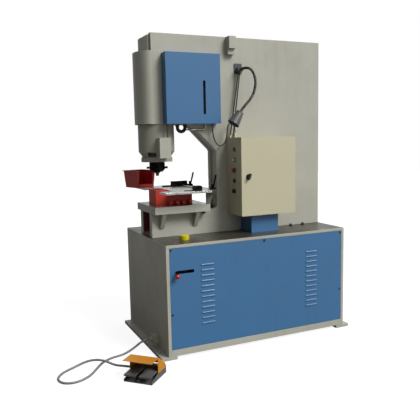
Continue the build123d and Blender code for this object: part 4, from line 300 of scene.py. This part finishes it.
BLACK_OXIDE = stained_steel("black_oxide_steel", "#1d1c1b", "#0e0e0e", 0.42, stain_size=0.015)
lever = finished("valve_lever", BLACK_OXIDE)
lever.data.materials.append(moulded("red_phenolic", "#a81c12", 0.22, coat=0.3))
BALL_RADIUS = 0.015
ball_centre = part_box("valve_lever")[0] + Vector((BALL_RADIUS, BALL_RADIUS, BALL_RADIUS))
for face in lever.data.polygons:
    if (face.center - ball_centre).length < BALL_RADIUS * 1.02:
        face.material_index = 1

# Filler cap: ribbed yellow polyethylene cap screwed on the tank's neck.
# Thick moulded walls make the yellow deep and slightly waxy.
# Its top is 8 mm lower than the solid's.
YELLOW_CAP = moulded("yellow_polyethylene", "#c9bd0a", 0.33, coat=0.1)
LOWER_CAP = [((-0.51, -0.30, 0.724), (-0.43, -0.22, 0.74), (0.0, 0.0, -0.008))]
eased("filler_cap", "filler_cap", YELLOW_CAP, 0.0012, LOWER_CAP)

# C-frame: two flame-cut 45 mm plates with webs welded between them, in the cabinet's grey enamel.
# The plate edges are ground and painted over; the lifting blocks are welded on.
# The far plate's throat and the webs behind it reach 42 mm deeper than the near plate's.
FRAME_EDGE = 0.002
WELDED_EDGE = 0.001
DEEPER_THROAT = [((-0.350, -1.0, 0.850), (-0.143, 1.0, 1.440), (0.042, 0.0, 0.0))]
for name in ("frame_plate_near", "lifting_lugs"):
    eased(name, "machine", GREY_ENAMEL, FRAME_EDGE)
eased("frame_plate_far", "machine", GREY_ENAMEL, FRAME_EDGE, DEEPER_THROAT)
eased("frame_webs", "machine", GREY_ENAMEL, WELDED_EDGE, DEEPER_THROAT)

# Slug chute: sloping plate between the lower jaws with an upright cheek along each side.
# Dark red enamel, dusty along its foot; slugs slide down it, so its gloss is gone.
DARK_RED_ENAMEL = machine_enamel("dark_red_enamel", "#541213", "#2c0d0c", roughness=0.5)
finished("slug_chute", DARK_RED_ENAMEL)
CHEEK_THICK = 0.002
chute_low, chute_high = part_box("slug_chute")
cheeks = bmesh.new()
for inner_y in (chute_low.y + CHEEK_THICK / 2, chute_high.y - CHEEK_THICK / 2):
    middle = Vector(((chute_low.x + chute_high.x) / 2, inner_y, (chute_low.z + chute_high.z) / 2))
    size = Vector((chute_high.x - chute_low.x, CHEEK_THICK, chute_high.z - chute_low.z))
    bmesh.ops.create_cube(cheeks, size=1.0, matrix=Matrix.LocRotScale(middle, None, size))
chute_cheeks = formed("slug_chute_cheeks", cheeks, DARK_RED_ENAMEL)
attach(chute_cheeks, "machine")

# Head: folded guard sheet, cast ram housing and the small box over the trip arm.
# All are sprayed with the frame's enamel; the casting's skin is a little rougher.
# The guard's lower edge hangs 11 mm further down than the solid's.
SHEET_EDGE = 0.0008
THIN_SHEET_EDGE = 0.0006
BLOCK_EDGE = 0.002
GREY_CASTING = machine_enamel(
    "grey_enamel_on_casting", "#8f8f80", "#565245", roughness=0.46, peel=0.00014)
LONGER_GUARD = [((-0.70, -0.2, 1.423), (-0.50, 0.2, 1.425), (0.0, 0.0, -0.011))]
eased("cylinder_guard", "machine", GREY_ENAMEL, SHEET_EDGE, LONGER_GUARD)
eased("ram_housing", "machine", GREY_CASTING, BLOCK_EDGE)
eased("trip_box", "machine", GREY_ENAMEL, THIN_SHEET_EDGE)
finished("cylinder_tube", CASTING_PAINT)

# Ram, trip rod and punch set: ground steel ram, blackened coupling nut, hardened punch and die.
# Ground faces keep fine marks and an oil film; hardened ones are darker and glossier.
NUT_EDGE = 0.0012
GROUND_STEEL = stained_steel("ground_steel", "#b9b8b2", "#8f8d85", 0.28, stain_size=0.05)
OILY_STEEL = stained_steel("oily_rod_steel", "#6f6d66", "#4a4842", 0.45, stain_size=0.03)
HARDENED_STEEL = stained_steel("hardened_steel", "#4a4844", "#262422", 0.30, stain_size=0.01)
finished("ram", GROUND_STEEL)
finished("trip_rod", OILY_STEEL)
eased("punch_nut", "nut", BLACK_OXIDE, NUT_EDGE)
finished("punch", HARDENED_STEEL)
finished("die", HARDENED_STEEL)

# Bolster plate with welded gussets that reach 8 mm outwards, in the frame's enamel.
# Its top face is rubbed bare by tooling, its end faces carry two tapped holes.
LONGER_GUSSETS = [
    ((-0.60, -0.180, 0.850), (-0.30, -0.170, 0.856), (0.0, -0.008, 0.0)),
    ((-0.60, 0.170, 0.850), (-0.30, 0.180, 0.856), (0.0, 0.008, 0.0)),
]
bolster = eased("bolster_plate", "machine", GREY_ENAMEL, BLOCK_EDGE, LONGER_GUSSETS)
top_wear_and_shade(bolster, GROUND_STEEL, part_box("bolster_plate")[1].z)

# Die holder: milled block in signal-red enamel, with four square-head screws in the same red,
# which is painted brighter on the screws as painted light on their proud heads.
# The red has been brushed on, so it is thick and slightly uneven.
# The block is 10 mm wider than the solid and 8 mm shorter at its left end.
RED_ENAMEL = machine_enamel(
    "signal_red_enamel", "#b32407", "#5a0f05", roughness=0.48, grime_share=0.45)
# The screws' brighter red is painted light: the block's red, lightened for the light their heads
# catch.
SCREW_RED_PAINTED_LIGHT = machine_enamel(
    "screw_red_painted_light", "#d02a10", "#7a150a", roughness=0.4, grime_share=0.3)
WIDER_BLOCK = [
    ((-0.60, -0.070, 0.90), (-0.32, -0.060, 1.0), (0.0, -0.005, 0.0)),
    ((-0.60, 0.060, 0.90), (-0.32, 0.070, 1.0), (0.0, 0.005, 0.0)),
    ((-0.59, -0.080, 0.90), (-0.587, 0.080, 1.0), (0.008, 0.0, 0.0)),
]
NEARER_SCREWS = [((-0.60, -0.2, 0.90), (-0.32, 0.0, 1.0), (0.0, -0.005, 0.0))]
eased("die_holder", "machine", RED_ENAMEL, BLOCK_EDGE, WIDER_BLOCK)
eased("die_screws", "machine", SCREW_RED_PAINTED_LIGHT, WELDED_EDGE, NEARER_SCREWS)


# Work table: ground steel plate, bare and lightly oiled, on welded brackets in grey enamel that is
# darkened as painted shade under the plate.
# Long surface-grinding marks run along X and catch the light.
# The plate reaches 40 mm further at its far edge and 7 mm at its right edge than the solid.
MARKS_ALONG = 15.0        # per metre: grinding marks of about 67 mm
MARKS_ACROSS = 900.0      # per metre: 1.1 mm apart, coarser than real so that they show
OIL_PATCHES = 22.0        # per metre: patches of about 45 mm


def ground_plate(name, colour, stain):
    """Surface-ground steel: marks 60 times longer than wide, under a patchy oil film."""
    finish, tree, shader, place = new_finish(name)
    drawn = add(tree, "ShaderNodeMapping", {
        "Vector": place, "Scale": (MARKS_ALONG, MARKS_ACROSS, MARKS_ACROSS),
    }).outputs["Vector"]
    marks = add(tree, "ShaderNodeTexNoise", {
        "Vector": drawn, "Scale": 1.0, "Detail": 4.0,
    }).outputs["Fac"]
    patch = add(tree, "ShaderNodeTexNoise", {
        "Vector": place, "Scale": OIL_PATCHES, "Detail": 6.0, "Roughness": 0.7,
    }).outputs["Fac"]
    mask = add(tree, "ShaderNodeMapRange", {"Value": patch, "From Min": 0.50, "From Max": 0.75})
    tone = add(tree, "ShaderNodeMix", {
        "Factor": mask.outputs["Result"], MIX_FIRST: linear(colour), MIX_SECOND: linear(stain),
    }, data_type="RGBA")
    gloss = add(tree, "ShaderNodeMapRange", {
        "Value": marks, "From Min": 0.3, "From Max": 0.7, "To Min": 0.24, "To Max": 0.44,
    })
    bump = add(tree, "ShaderNodeBump", {"Height": marks, "Strength": 0.5, "Distance": 0.00004})
    shader.inputs["Metallic"].default_value = 1.0
    tree.links.new(tone.outputs[MIX_RESULT], shader.inputs["Base Color"])
    tree.links.new(gloss.outputs["Result"], shader.inputs["Roughness"])
    tree.links.new(bump.outputs["Normal"], shader.inputs["Normal"])
    return finish


TABLE_STEEL = ground_plate("surface_ground_steel", "#cfcfcb", "#8b887f")
BRACKET_ENAMEL_PAINTED_SHADE = machine_enamel("bracket_enamel_painted_shade", "#5f5e53", "#3a382f", roughness=0.5)
BRACKETS_IN_PAINTED_SHADE_BELOW = 0.980
LARGER_TABLE = [
    ((-0.60, 0.280, 0.980), (-0.20, 0.300, 1.0), (0.0, 0.040, 0.0)),
    ((-0.2165, -0.3, 0.980), (-0.20, 0.4, 1.0), (0.007, 0.0, 0.0)),
]
table = eased("work_table", "machine", TABLE_STEEL, SHEET_EDGE, LARGER_TABLE)
# Faces below the plate are the brackets; their darker enamel is painted shade under the table.
table.data.materials.append(BRACKET_ENAMEL_PAINTED_SHADE)
for face in table.data.polygons:
    if face.center.z < BRACKETS_IN_PAINTED_SHADE_BELOW:
        face.material_index = 1
finished("gauge_rail", TABLE_STEEL)

# Gauges and clamps on the table: blackened steel fence, side stop and two clamp handles.
# The black oxide is thin, so handled edges shine; the handles stand a little steeper.
CLAMP_EDGE = 0.0004
STEEPER_ARM = [((-0.23, -0.3, 1.055), (-0.15, 0.3, 1.12), (-0.014, 0.0, 0.009))]
finished("clamp_foot", BLACK_OXIDE)
eased("rear_fence", "fence", BLACK_OXIDE, SHEET_EDGE)
eased("fence_clamp", "fence_clamp", BLACK_OXIDE, CLAMP_EDGE, STEEPER_ARM)
eased("side_stop", "side_stop", BLACK_OXIDE, SHEET_EDGE)
eased("table_clamp", "table_clamp", BLACK_OXIDE, CLAMP_EDGE, STEEPER_ARM)

# Scrap bin: injection-moulded red polypropylene with a flared rim and an open scoop front.
# Polypropylene is slightly translucent and waxy, with bright highlights on its rim.
# The solid's bin is squared up, made larger, and set back 45 mm and turned by 15 degrees.
BIN_RIM_EDGE = 0.0012
RED_POLYPROPYLENE = moulded("red_polypropylene", "#a81606", 0.38, coat=0.05)
bin_square = (Matrix.Rotation(math.radians(-17), 4, "Z")
              @ Matrix.Translation((0.624, -0.150, -0.994)))
bin_larger = Matrix.Diagonal((1.07, 1.23, 1.09, 1.0))
bin_placed = (Matrix.Translation((-0.617, 0.195, 0.994))
              @ Matrix.Rotation(math.radians(15), 4, "Z"))
eased("scrap_bin", "machine", RED_POLYPROPYLENE, BIN_RIM_EDGE,
      recast=bin_placed @ bin_larger @ bin_square)

# Side cover over the limit switches: folded blue sheet box, screwed to the near plate.
# Same enamel as the front panel; the switches inside are black ABS.
BLACK_ABS = moulded("black_abs", "#161616", 0.42)
eased("side_cover", "machine", BLUE_ENAMEL, SHEET_EDGE)
finished("limit_switches", BLACK_ABS)


# Cylinder hoses: a rubber hose and, nearer the front, a bright zinc-plated pipe under the head.
# Rubber is dull black; it is the darkest thing under the jaw.
RUBBER_DUST = 60.0        # per metre: dust in patches of about 17 mm


def rubber(name, colour, roughness=0.6):
    """Matt rubber or PVC sheath with dust in its grain."""
    finish, tree, shader, place = new_finish(name)
    dust = add(tree, "ShaderNodeTexNoise", {
        "Vector": place, "Scale": RUBBER_DUST, "Detail": 5.0,
    }).outputs["Fac"]
    paler = [min(1.0, part * 1.9 + 0.01) for part in linear(colour)[:3]] + [1.0]
    tone = add(tree, "ShaderNodeMix", {
        "Factor": dust, MIX_FIRST: linear(colour), MIX_SECOND: paler,
    }, data_type="RGBA")
    bump = add(tree, "ShaderNodeBump", {"Height": dust, "Strength": 0.4, "Distance": 0.0001})
    shader.inputs["Roughness"].default_value = roughness
    tree.links.new(tone.outputs[MIX_RESULT], shader.inputs["Base Color"])
    tree.links.new(bump.outputs["Normal"], shader.inputs["Normal"])
    return finish


HOSE_RUBBER = rubber("hose_rubber", "#1b1b1a")
BRIGHT_ZINC = stained_steel("bright_zinc_pipe", "#c9c8c2", "#94928b", 0.34, stain_size=0.02)
PIPE_IN_FRONT_OF = -0.070
hoses = finished("cylinder_hoses", HOSE_RUBBER)
hoses.data.materials.append(BRIGHT_ZINC)
for face in hoses.data.polygons:
    if face.center.y < PIPE_IN_FRONT_OF:
        face.material_index = 1

# Control enclosure: folded sheet body and door in cream powder coat, on a blue sheet duct.
# Powder coat is thicker and more even than enamel, with rounded edges and a soft gloss.
FOLDED_EDGE = 0.0009
CREAM_COAT = machine_enamel(
    "cream_powder_coat", "#b3ae92", "#8c8770", roughness=0.38, grime_share=0.18)
eased("control_box", "machine", CREAM_COAT, FOLDED_EDGE)
eased("control_door", "door", CREAM_COAT, FOLDED_EDGE)
eased("box_pedestal", "machine", BLUE_ENAMEL, FOLDED_EDGE)
finished("control_gear", BLACK_ABS)
finished("door_lock", BLACK_ABS)

# Operators on the enclosure's side: metal bezels with a lens, three buttons and a selector knob.
# Caps are moulded and glossy; the bezels are chromed, so they mirror the pale surround.
CHROME = stained_steel("bezel_chrome", "#8f8d88", "#5f5d59", 0.22)
finished("button_bezels", CHROME)
finished("signal_lamp", moulded("amber_lens", "#7a3a10", 0.2, coat=0.5))
finished("white_button", moulded("white_cap", "#e8e8e4", 0.3, coat=0.2))
finished("red_button", moulded("red_mushroom_cap", "#9c1d18", 0.3, coat=0.2))
finished("green_button", moulded("dark_green_cap", "#20291f", 0.3, coat=0.2))
finished("selector_knob", BLACK_ABS)

# Work lamp: cast base on the frame, ribbed gooseneck, spun shade, its bulb and two leads.
# The neck is dark steel strip wound in a spiral, so each turn catches a thin light.
# The shade's paint is satin, with one broad soft highlight along its cone.
SHADE_PAINT = machine_enamel(
    "dark_grey_shade_paint", "#4c4c4b", "#333332", roughness=0.42, grime_share=0.2)
WOUND_STRIP = stained_steel("wound_steel_strip", "#5b5957", "#2c2b2a", 0.30)
NECK_RADIUS = 0.0082
NECK_RIB = 0.0009
NECK_PITCH = 0.0050
NECK_IN_FRONT_OF = -0.1562
STEPS_PER_RIB = 4.0
TUBE_SIDES = 14
NECK_ROUTE = (
    (-4.0, -155.0, 1756.0),
    (-2.0, -199.0, 1762.0),
    (20.0, -237.0, 1758.0),
    (42.0, -253.0, 1720.0),
    (48.0, -261.0, 1668.0),
    (36.0, -267.0, 1614.0),
    (8.0, -272.0, 1564.0),
    (-56.2, -274.0, 1502.0),
    (-73.0, -274.0, 1478.0),
)


def route_curve(name, points, diameter):
    """A smooth NURBS line on points in millimetres, with a round section given in metres."""
    data = bpy.data.curves.new(name, "CURVE")
    data.dimensions = "3D"
    spline = data.splines.new("NURBS")
    spline.points.add(len(points) - 1)
    for point, place in zip(spline.points, points):
        point.co = (place[0] / 1000, place[1] / 1000, place[2] / 1000, 1.0)
    spline.order_u = 3
    spline.use_endpoint_u = True
    spline.resolution_u = 10
    data.bevel_depth = diameter / 2
    data.bevel_resolution = 5
    data.use_fill_caps = diameter > 0
    return new_piece(name, data)


def rib_nodes(name, sizes, finish):
    """Geometry Nodes that sweep a ribbed tube along a line; also gives the inputs' sockets."""
    tree = bpy.data.node_groups.new(name, "GeometryNodeTree")
    tree.interface.new_socket("Line", in_out="INPUT", socket_type="NodeSocketGeometry")
    sockets = {
        size: tree.interface.new_socket(size, in_out="INPUT", socket_type="NodeSocketFloat")
        for size in sizes
    }
    tree.interface.new_socket("Tube", in_out="OUTPUT", socket_type="NodeSocketGeometry")
    given = add(tree, "NodeGroupInput").outputs
    step = add(tree, "ShaderNodeMath", {0: given["Pitch"], 1: STEPS_PER_RIB}, operation="DIVIDE")
    spaced = add(tree, "GeometryNodeResampleCurve", {
        "Curve": given["Line"], "Length": step.outputs[0],
    }, mode="LENGTH")
    along = add(tree, "GeometryNodeSplineParameter").outputs["Length"]
    turns = add(tree, "ShaderNodeMath", {0: along, 1: given["Pitch"]}, operation="DIVIDE")
    phase = add(tree, "ShaderNodeMath", {0: turns.outputs[0], 1: math.tau}, operation="MULTIPLY")
    wave = add(tree, "ShaderNodeMath", {0: phase.outputs[0]}, operation="SINE")
    girth = add(tree, "ShaderNodeMath", {
        0: wave.outputs[0], 1: given["Depth"], 2: given["Radius"],
    }, operation="MULTIPLY_ADD")
    section = add(tree, "GeometryNodeCurvePrimitiveCircle", {"Resolution": TUBE_SIDES, "Radius": 1.0})
    swept = add(tree, "GeometryNodeCurveToMesh", {
        "Curve": spaced.outputs["Curve"], "Profile Curve": section.outputs["Curve"],
        "Scale": girth.outputs[0], "Fill Caps": True,
    })
    smooth = add(tree, "GeometryNodeSetShadeSmooth", {"Geometry": swept.outputs["Mesh"]})
    real = add(tree, "GeometryNodeRealizeInstances", {"Geometry": smooth.outputs["Geometry"]})
    painted = add(tree, "GeometryNodeSetMaterial", {
        "Geometry": real.outputs["Geometry"], "Material": finish,
    })
    add(tree, "NodeGroupOutput", {"Tube": painted.outputs["Geometry"]})
    return tree, sockets


def ribbed_tube(name, points, radius, depth, pitch, finish):
    """A tube of wound strip along a route, ribbed at an even pitch; also gives its centreline."""
    guide = route_curve(f"{name}_guide", points, 0.0)
    centre = [vert.co.copy() for vert in settled_mesh(guide).vertices]
    bpy.data.objects.remove(guide)
    sizes = {"Radius": radius, "Depth": depth, "Pitch": pitch}
    tree, sockets = rib_nodes(f"{name}_ribs", sizes, finish)
    line = route_curve(f"{name}_line", points, 0.0)
    ribs = line.modifiers.new("Ribs", "NODES")
    ribs.node_group = tree
    for size, value in sizes.items():
        ribs[sockets[size].identifier] = value
    mesh = settled_mesh(line)
    bpy.data.objects.remove(line)
    return new_piece(name, mesh), centre


lamp_base = eased("lamp_stand", "machine", CASTING_PAINT, WELDED_EDGE)
base_form = bmesh.new()
base_form.from_mesh(lamp_base.data)
neck_verts = [vert for vert in base_form.verts if vert.co.y < NECK_IN_FRONT_OF]
bmesh.ops.delete(base_form, geom=neck_verts, context="VERTS")
base_form.to_mesh(lamp_base.data)
base_form.free()
gooseneck, neck_line = ribbed_tube(
    "gooseneck", NECK_ROUTE, NECK_RADIUS, NECK_RIB, NECK_PITCH, WOUND_STRIP)
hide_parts("lamp_stand")
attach(gooseneck, "machine")
finished("lamp_shade", SHADE_PAINT)
finished("lamp_bulb", moulded("frosted_glass_bulb", "#e9e6dc", 0.35, coat=0.3))
finished("lamp_leads", HOSE_RUBBER)

# Cable from the side cover to the enclosure: 7 mm black PVC, limp, hanging in a loop.
# Its ends go up into the cover and down into the gland on the enclosure's top.
# The sheath is smooth, so a narrow grey highlight runs along it.
CABLE_PVC = rubber("black_cable_pvc", "#171716", 0.5)
CABLE_DIAMETER = 0.007
SWITCH_CABLE_ROUTE = (
    (-207.0, -145.0, 1396.0),
    (-207.0, -145.0, 1350.0),
    (-195.0, -146.0, 1304.0),
    (-170.0, -148.0, 1270.0),
    (-138.0, -150.0, 1270.0),
    (-114.0, -151.0, 1306.0),
    (-107.0, -152.0, 1350.0),
    (-105.0, -152.0, 1386.0),
    (-97.0, -152.0, 1405.0),
    (-78.0, -152.0, 1413.0),
    (-59.0, -152.0, 1405.0),
    (-50.0, -152.0, 1386.0),
    (-50.0, -152.0, 1352.0),
)
switch_cable = route_curve("switch_cable_sheath", SWITCH_CABLE_ROUTE, CABLE_DIAMETER)
switch_cable.data.materials.append(CABLE_PVC)
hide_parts("switch_cable")
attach(switch_cable, "machine")

# Foot switch: cast tray with two pressed pedals on a pin, under a folded sheet hood.
# The hood is signal orange enamel; the tray and pedals are grey and scuffed by shoes.
# The hood's top is 4 mm lower than the solid's.
PEDAL_PAINT = machine_enamel(
    "scuffed_grey_paint", "#4d4e4d", "#7a7a77", roughness=0.4, grime_share=0.6)
HOOD_ENAMEL = machine_enamel(
    "signal_orange_enamel", "#b8760a", "#7d4c08", roughness=0.4, grime_share=0.5)
LOWER_HOOD = [((-1.2, -1.0, 0.118), (-0.6, -0.2, 0.130), (0.0, 0.0, -0.004))]
eased("foot_base", "machine", PEDAL_PAINT, SHEET_EDGE)
eased("left_pedal", "left_pedal", PEDAL_PAINT, SHEET_EDGE)
eased("right_pedal", "right_pedal", PEDAL_PAINT, SHEET_EDGE)
eased("foot_hood", "machine", HOOD_ENAMEL, SHEET_EDGE, LOWER_HOOD)

# Foot switch cable: 14 mm flexible conduit of wound strip, lying on the floor in one loop.
# It is medium stiff and runs from the outlet on the cabinet's side to the switch's inlet.
# Its shallow ribs break the highlight into fine bands.
CONDUIT = rubber("grey_conduit", "#5c5f60", 0.42)
CONDUIT_RADIUS = 0.0067
CONDUIT_RIB = 0.0003
CONDUIT_PITCH = 0.0060
FOOT_CABLE_ROUTE = (
    (-700.5, -200.0, 79.0),
    (-742.0, -200.0, 79.0),
    (-793.0, -193.0, 39.0),
    (-860.0, -192.0, 7.5),
    (-942.0, -208.0, 7.5),
    (-1007.0, -249.0, 7.5),
    (-1060.0, -325.0, 7.5),
    (-1118.0, -412.0, 7.5),
    (-1200.0, -462.0, 7.5),
    (-1272.0, -443.0, 7.5),
    (-1296.0, -372.0, 7.5),
    (-1256.0, -298.0, 7.5),
    (-1178.0, -247.0, 7.5),
    (-1110.0, -240.0, 26.0),
    (-1056.0, -260.0, 37.0),
    (-1008.0, -298.0, 36.0),
    (-958.0, -346.0, 15.0),
    (-912.9, -398.3, 22.0),
    (-881.1, -430.1, 22.0),
)
foot_cable, conduit_line = ribbed_tube(
    "foot_cable_conduit", FOOT_CABLE_ROUTE, CONDUIT_RADIUS, CONDUIT_RIB, CONDUIT_PITCH, CONDUIT)
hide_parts("foot_cable")
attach(foot_cable, "machine")

# Studio: a pale floor, one large soft key light from the front right, and a pale surround that
# is dimmer on the left. The floor looks white to the camera but reflects like a mid grey, so it
# doesn't light the machine from below. They are staging and not part of the machine.
FLOOR_HALF = 14.0
FLOOR_GLOW = 0.88
SURROUND_DIM, SURROUND_BRIGHT = 0.10, 0.85
KEY_STRENGTH = 3.4
KEY_SPREAD = math.radians(28)
KEY_DIRECTION = Vector((-0.45, 0.66, -0.72))
pale, pale_tree, pale_shader, _ = new_finish("pale_studio_floor")
floor_seen = add(pale_tree, "ShaderNodeLightPath").outputs["Is Camera Ray"]
floor_glow = add(pale_tree, "ShaderNodeMath", {0: floor_seen, 1: FLOOR_GLOW}, operation="MULTIPLY")
pale_shader.inputs["Base Color"].default_value = linear("#808080")
pale_shader.inputs["Roughness"].default_value = 1.0
pale_shader.inputs["Specular IOR Level"].default_value = 0.0
pale_shader.inputs["Emission Color"].default_value = linear("#ffffff")
pale_tree.links.new(floor_glow.outputs["Value"], pale_shader.inputs["Emission Strength"])
floor_mesh = bpy.data.meshes.new("studio_floor")
floor_mesh.from_pydata(
    [(-FLOOR_HALF, -FLOOR_HALF, 0), (FLOOR_HALF, -FLOOR_HALF, 0),
     (FLOOR_HALF, FLOOR_HALF, 0), (-FLOOR_HALF, FLOOR_HALF, 0)], [], [(0, 1, 2, 3)])
floor_mesh.materials.append(pale)
studio_floor = new_piece("studio_floor", floor_mesh)

world = bpy.data.worlds.new("studio")
scene.world = world
world.use_nodes = True
sky = world.node_tree
sky.nodes.clear()
sky_seen = add(sky, "ShaderNodeLightPath").outputs["Is Camera Ray"]
direction = add(sky, "ShaderNodeTexCoord").outputs["Generated"]
sideways = add(sky, "ShaderNodeSeparateXYZ", {"Vector": direction}).outputs["X"]
brightness = add(sky, "ShaderNodeMapRange", {
    "Value": sideways, "From Min": -0.8, "From Max": 0.5,
    "To Min": SURROUND_DIM, "To Max": SURROUND_BRIGHT,
}).outputs["Result"]
strength = add(sky, "ShaderNodeMath", {0: brightness, 1: sky_seen}, operation="MAXIMUM")
surround = add(sky, "ShaderNodeBackground", {
    "Color": linear("#ffffff"), "Strength": strength.outputs["Value"],
})
add(sky, "ShaderNodeOutputWorld", {"Surface": surround.outputs["Background"]})

key_data = bpy.data.lights.new("key_light", "SUN")
key_data.energy = KEY_STRENGTH
key_data.angle = KEY_SPREAD
key_light = new_piece("key_light", key_data)
key_light.rotation_euler = KEY_DIRECTION.to_track_quat("-Z", "Y").to_euler()

# Camera at the photograph's place, fitted to the machine's corners.
# Heading, tilt and roll are in degrees, the focal length is for a 36 mm wide frame.
CAMERA_PLACE = Vector((-1.7061, -3.3703, 1.3090))
HEADING = 24.485
TILT = 7.287
ROLL = -1.192
FOCAL_LENGTH = 46.98
FRAME_WIDTH = 36.0
camera_data = bpy.data.cameras.new("camera")
camera_data.lens = FOCAL_LENGTH
camera_data.sensor_width = FRAME_WIDTH
camera = new_piece("camera", camera_data)
camera.matrix_world = (
    Matrix.Translation(CAMERA_PLACE)
    @ Matrix.Rotation(-math.radians(HEADING), 4, "Z")
    @ Matrix.Rotation(math.pi / 2 - math.radians(TILT), 4, "X")
    @ Matrix.Rotation(math.radians(ROLL), 4, "Z"))
scene.camera = camera
scene.view_settings.view_transform = "Standard"
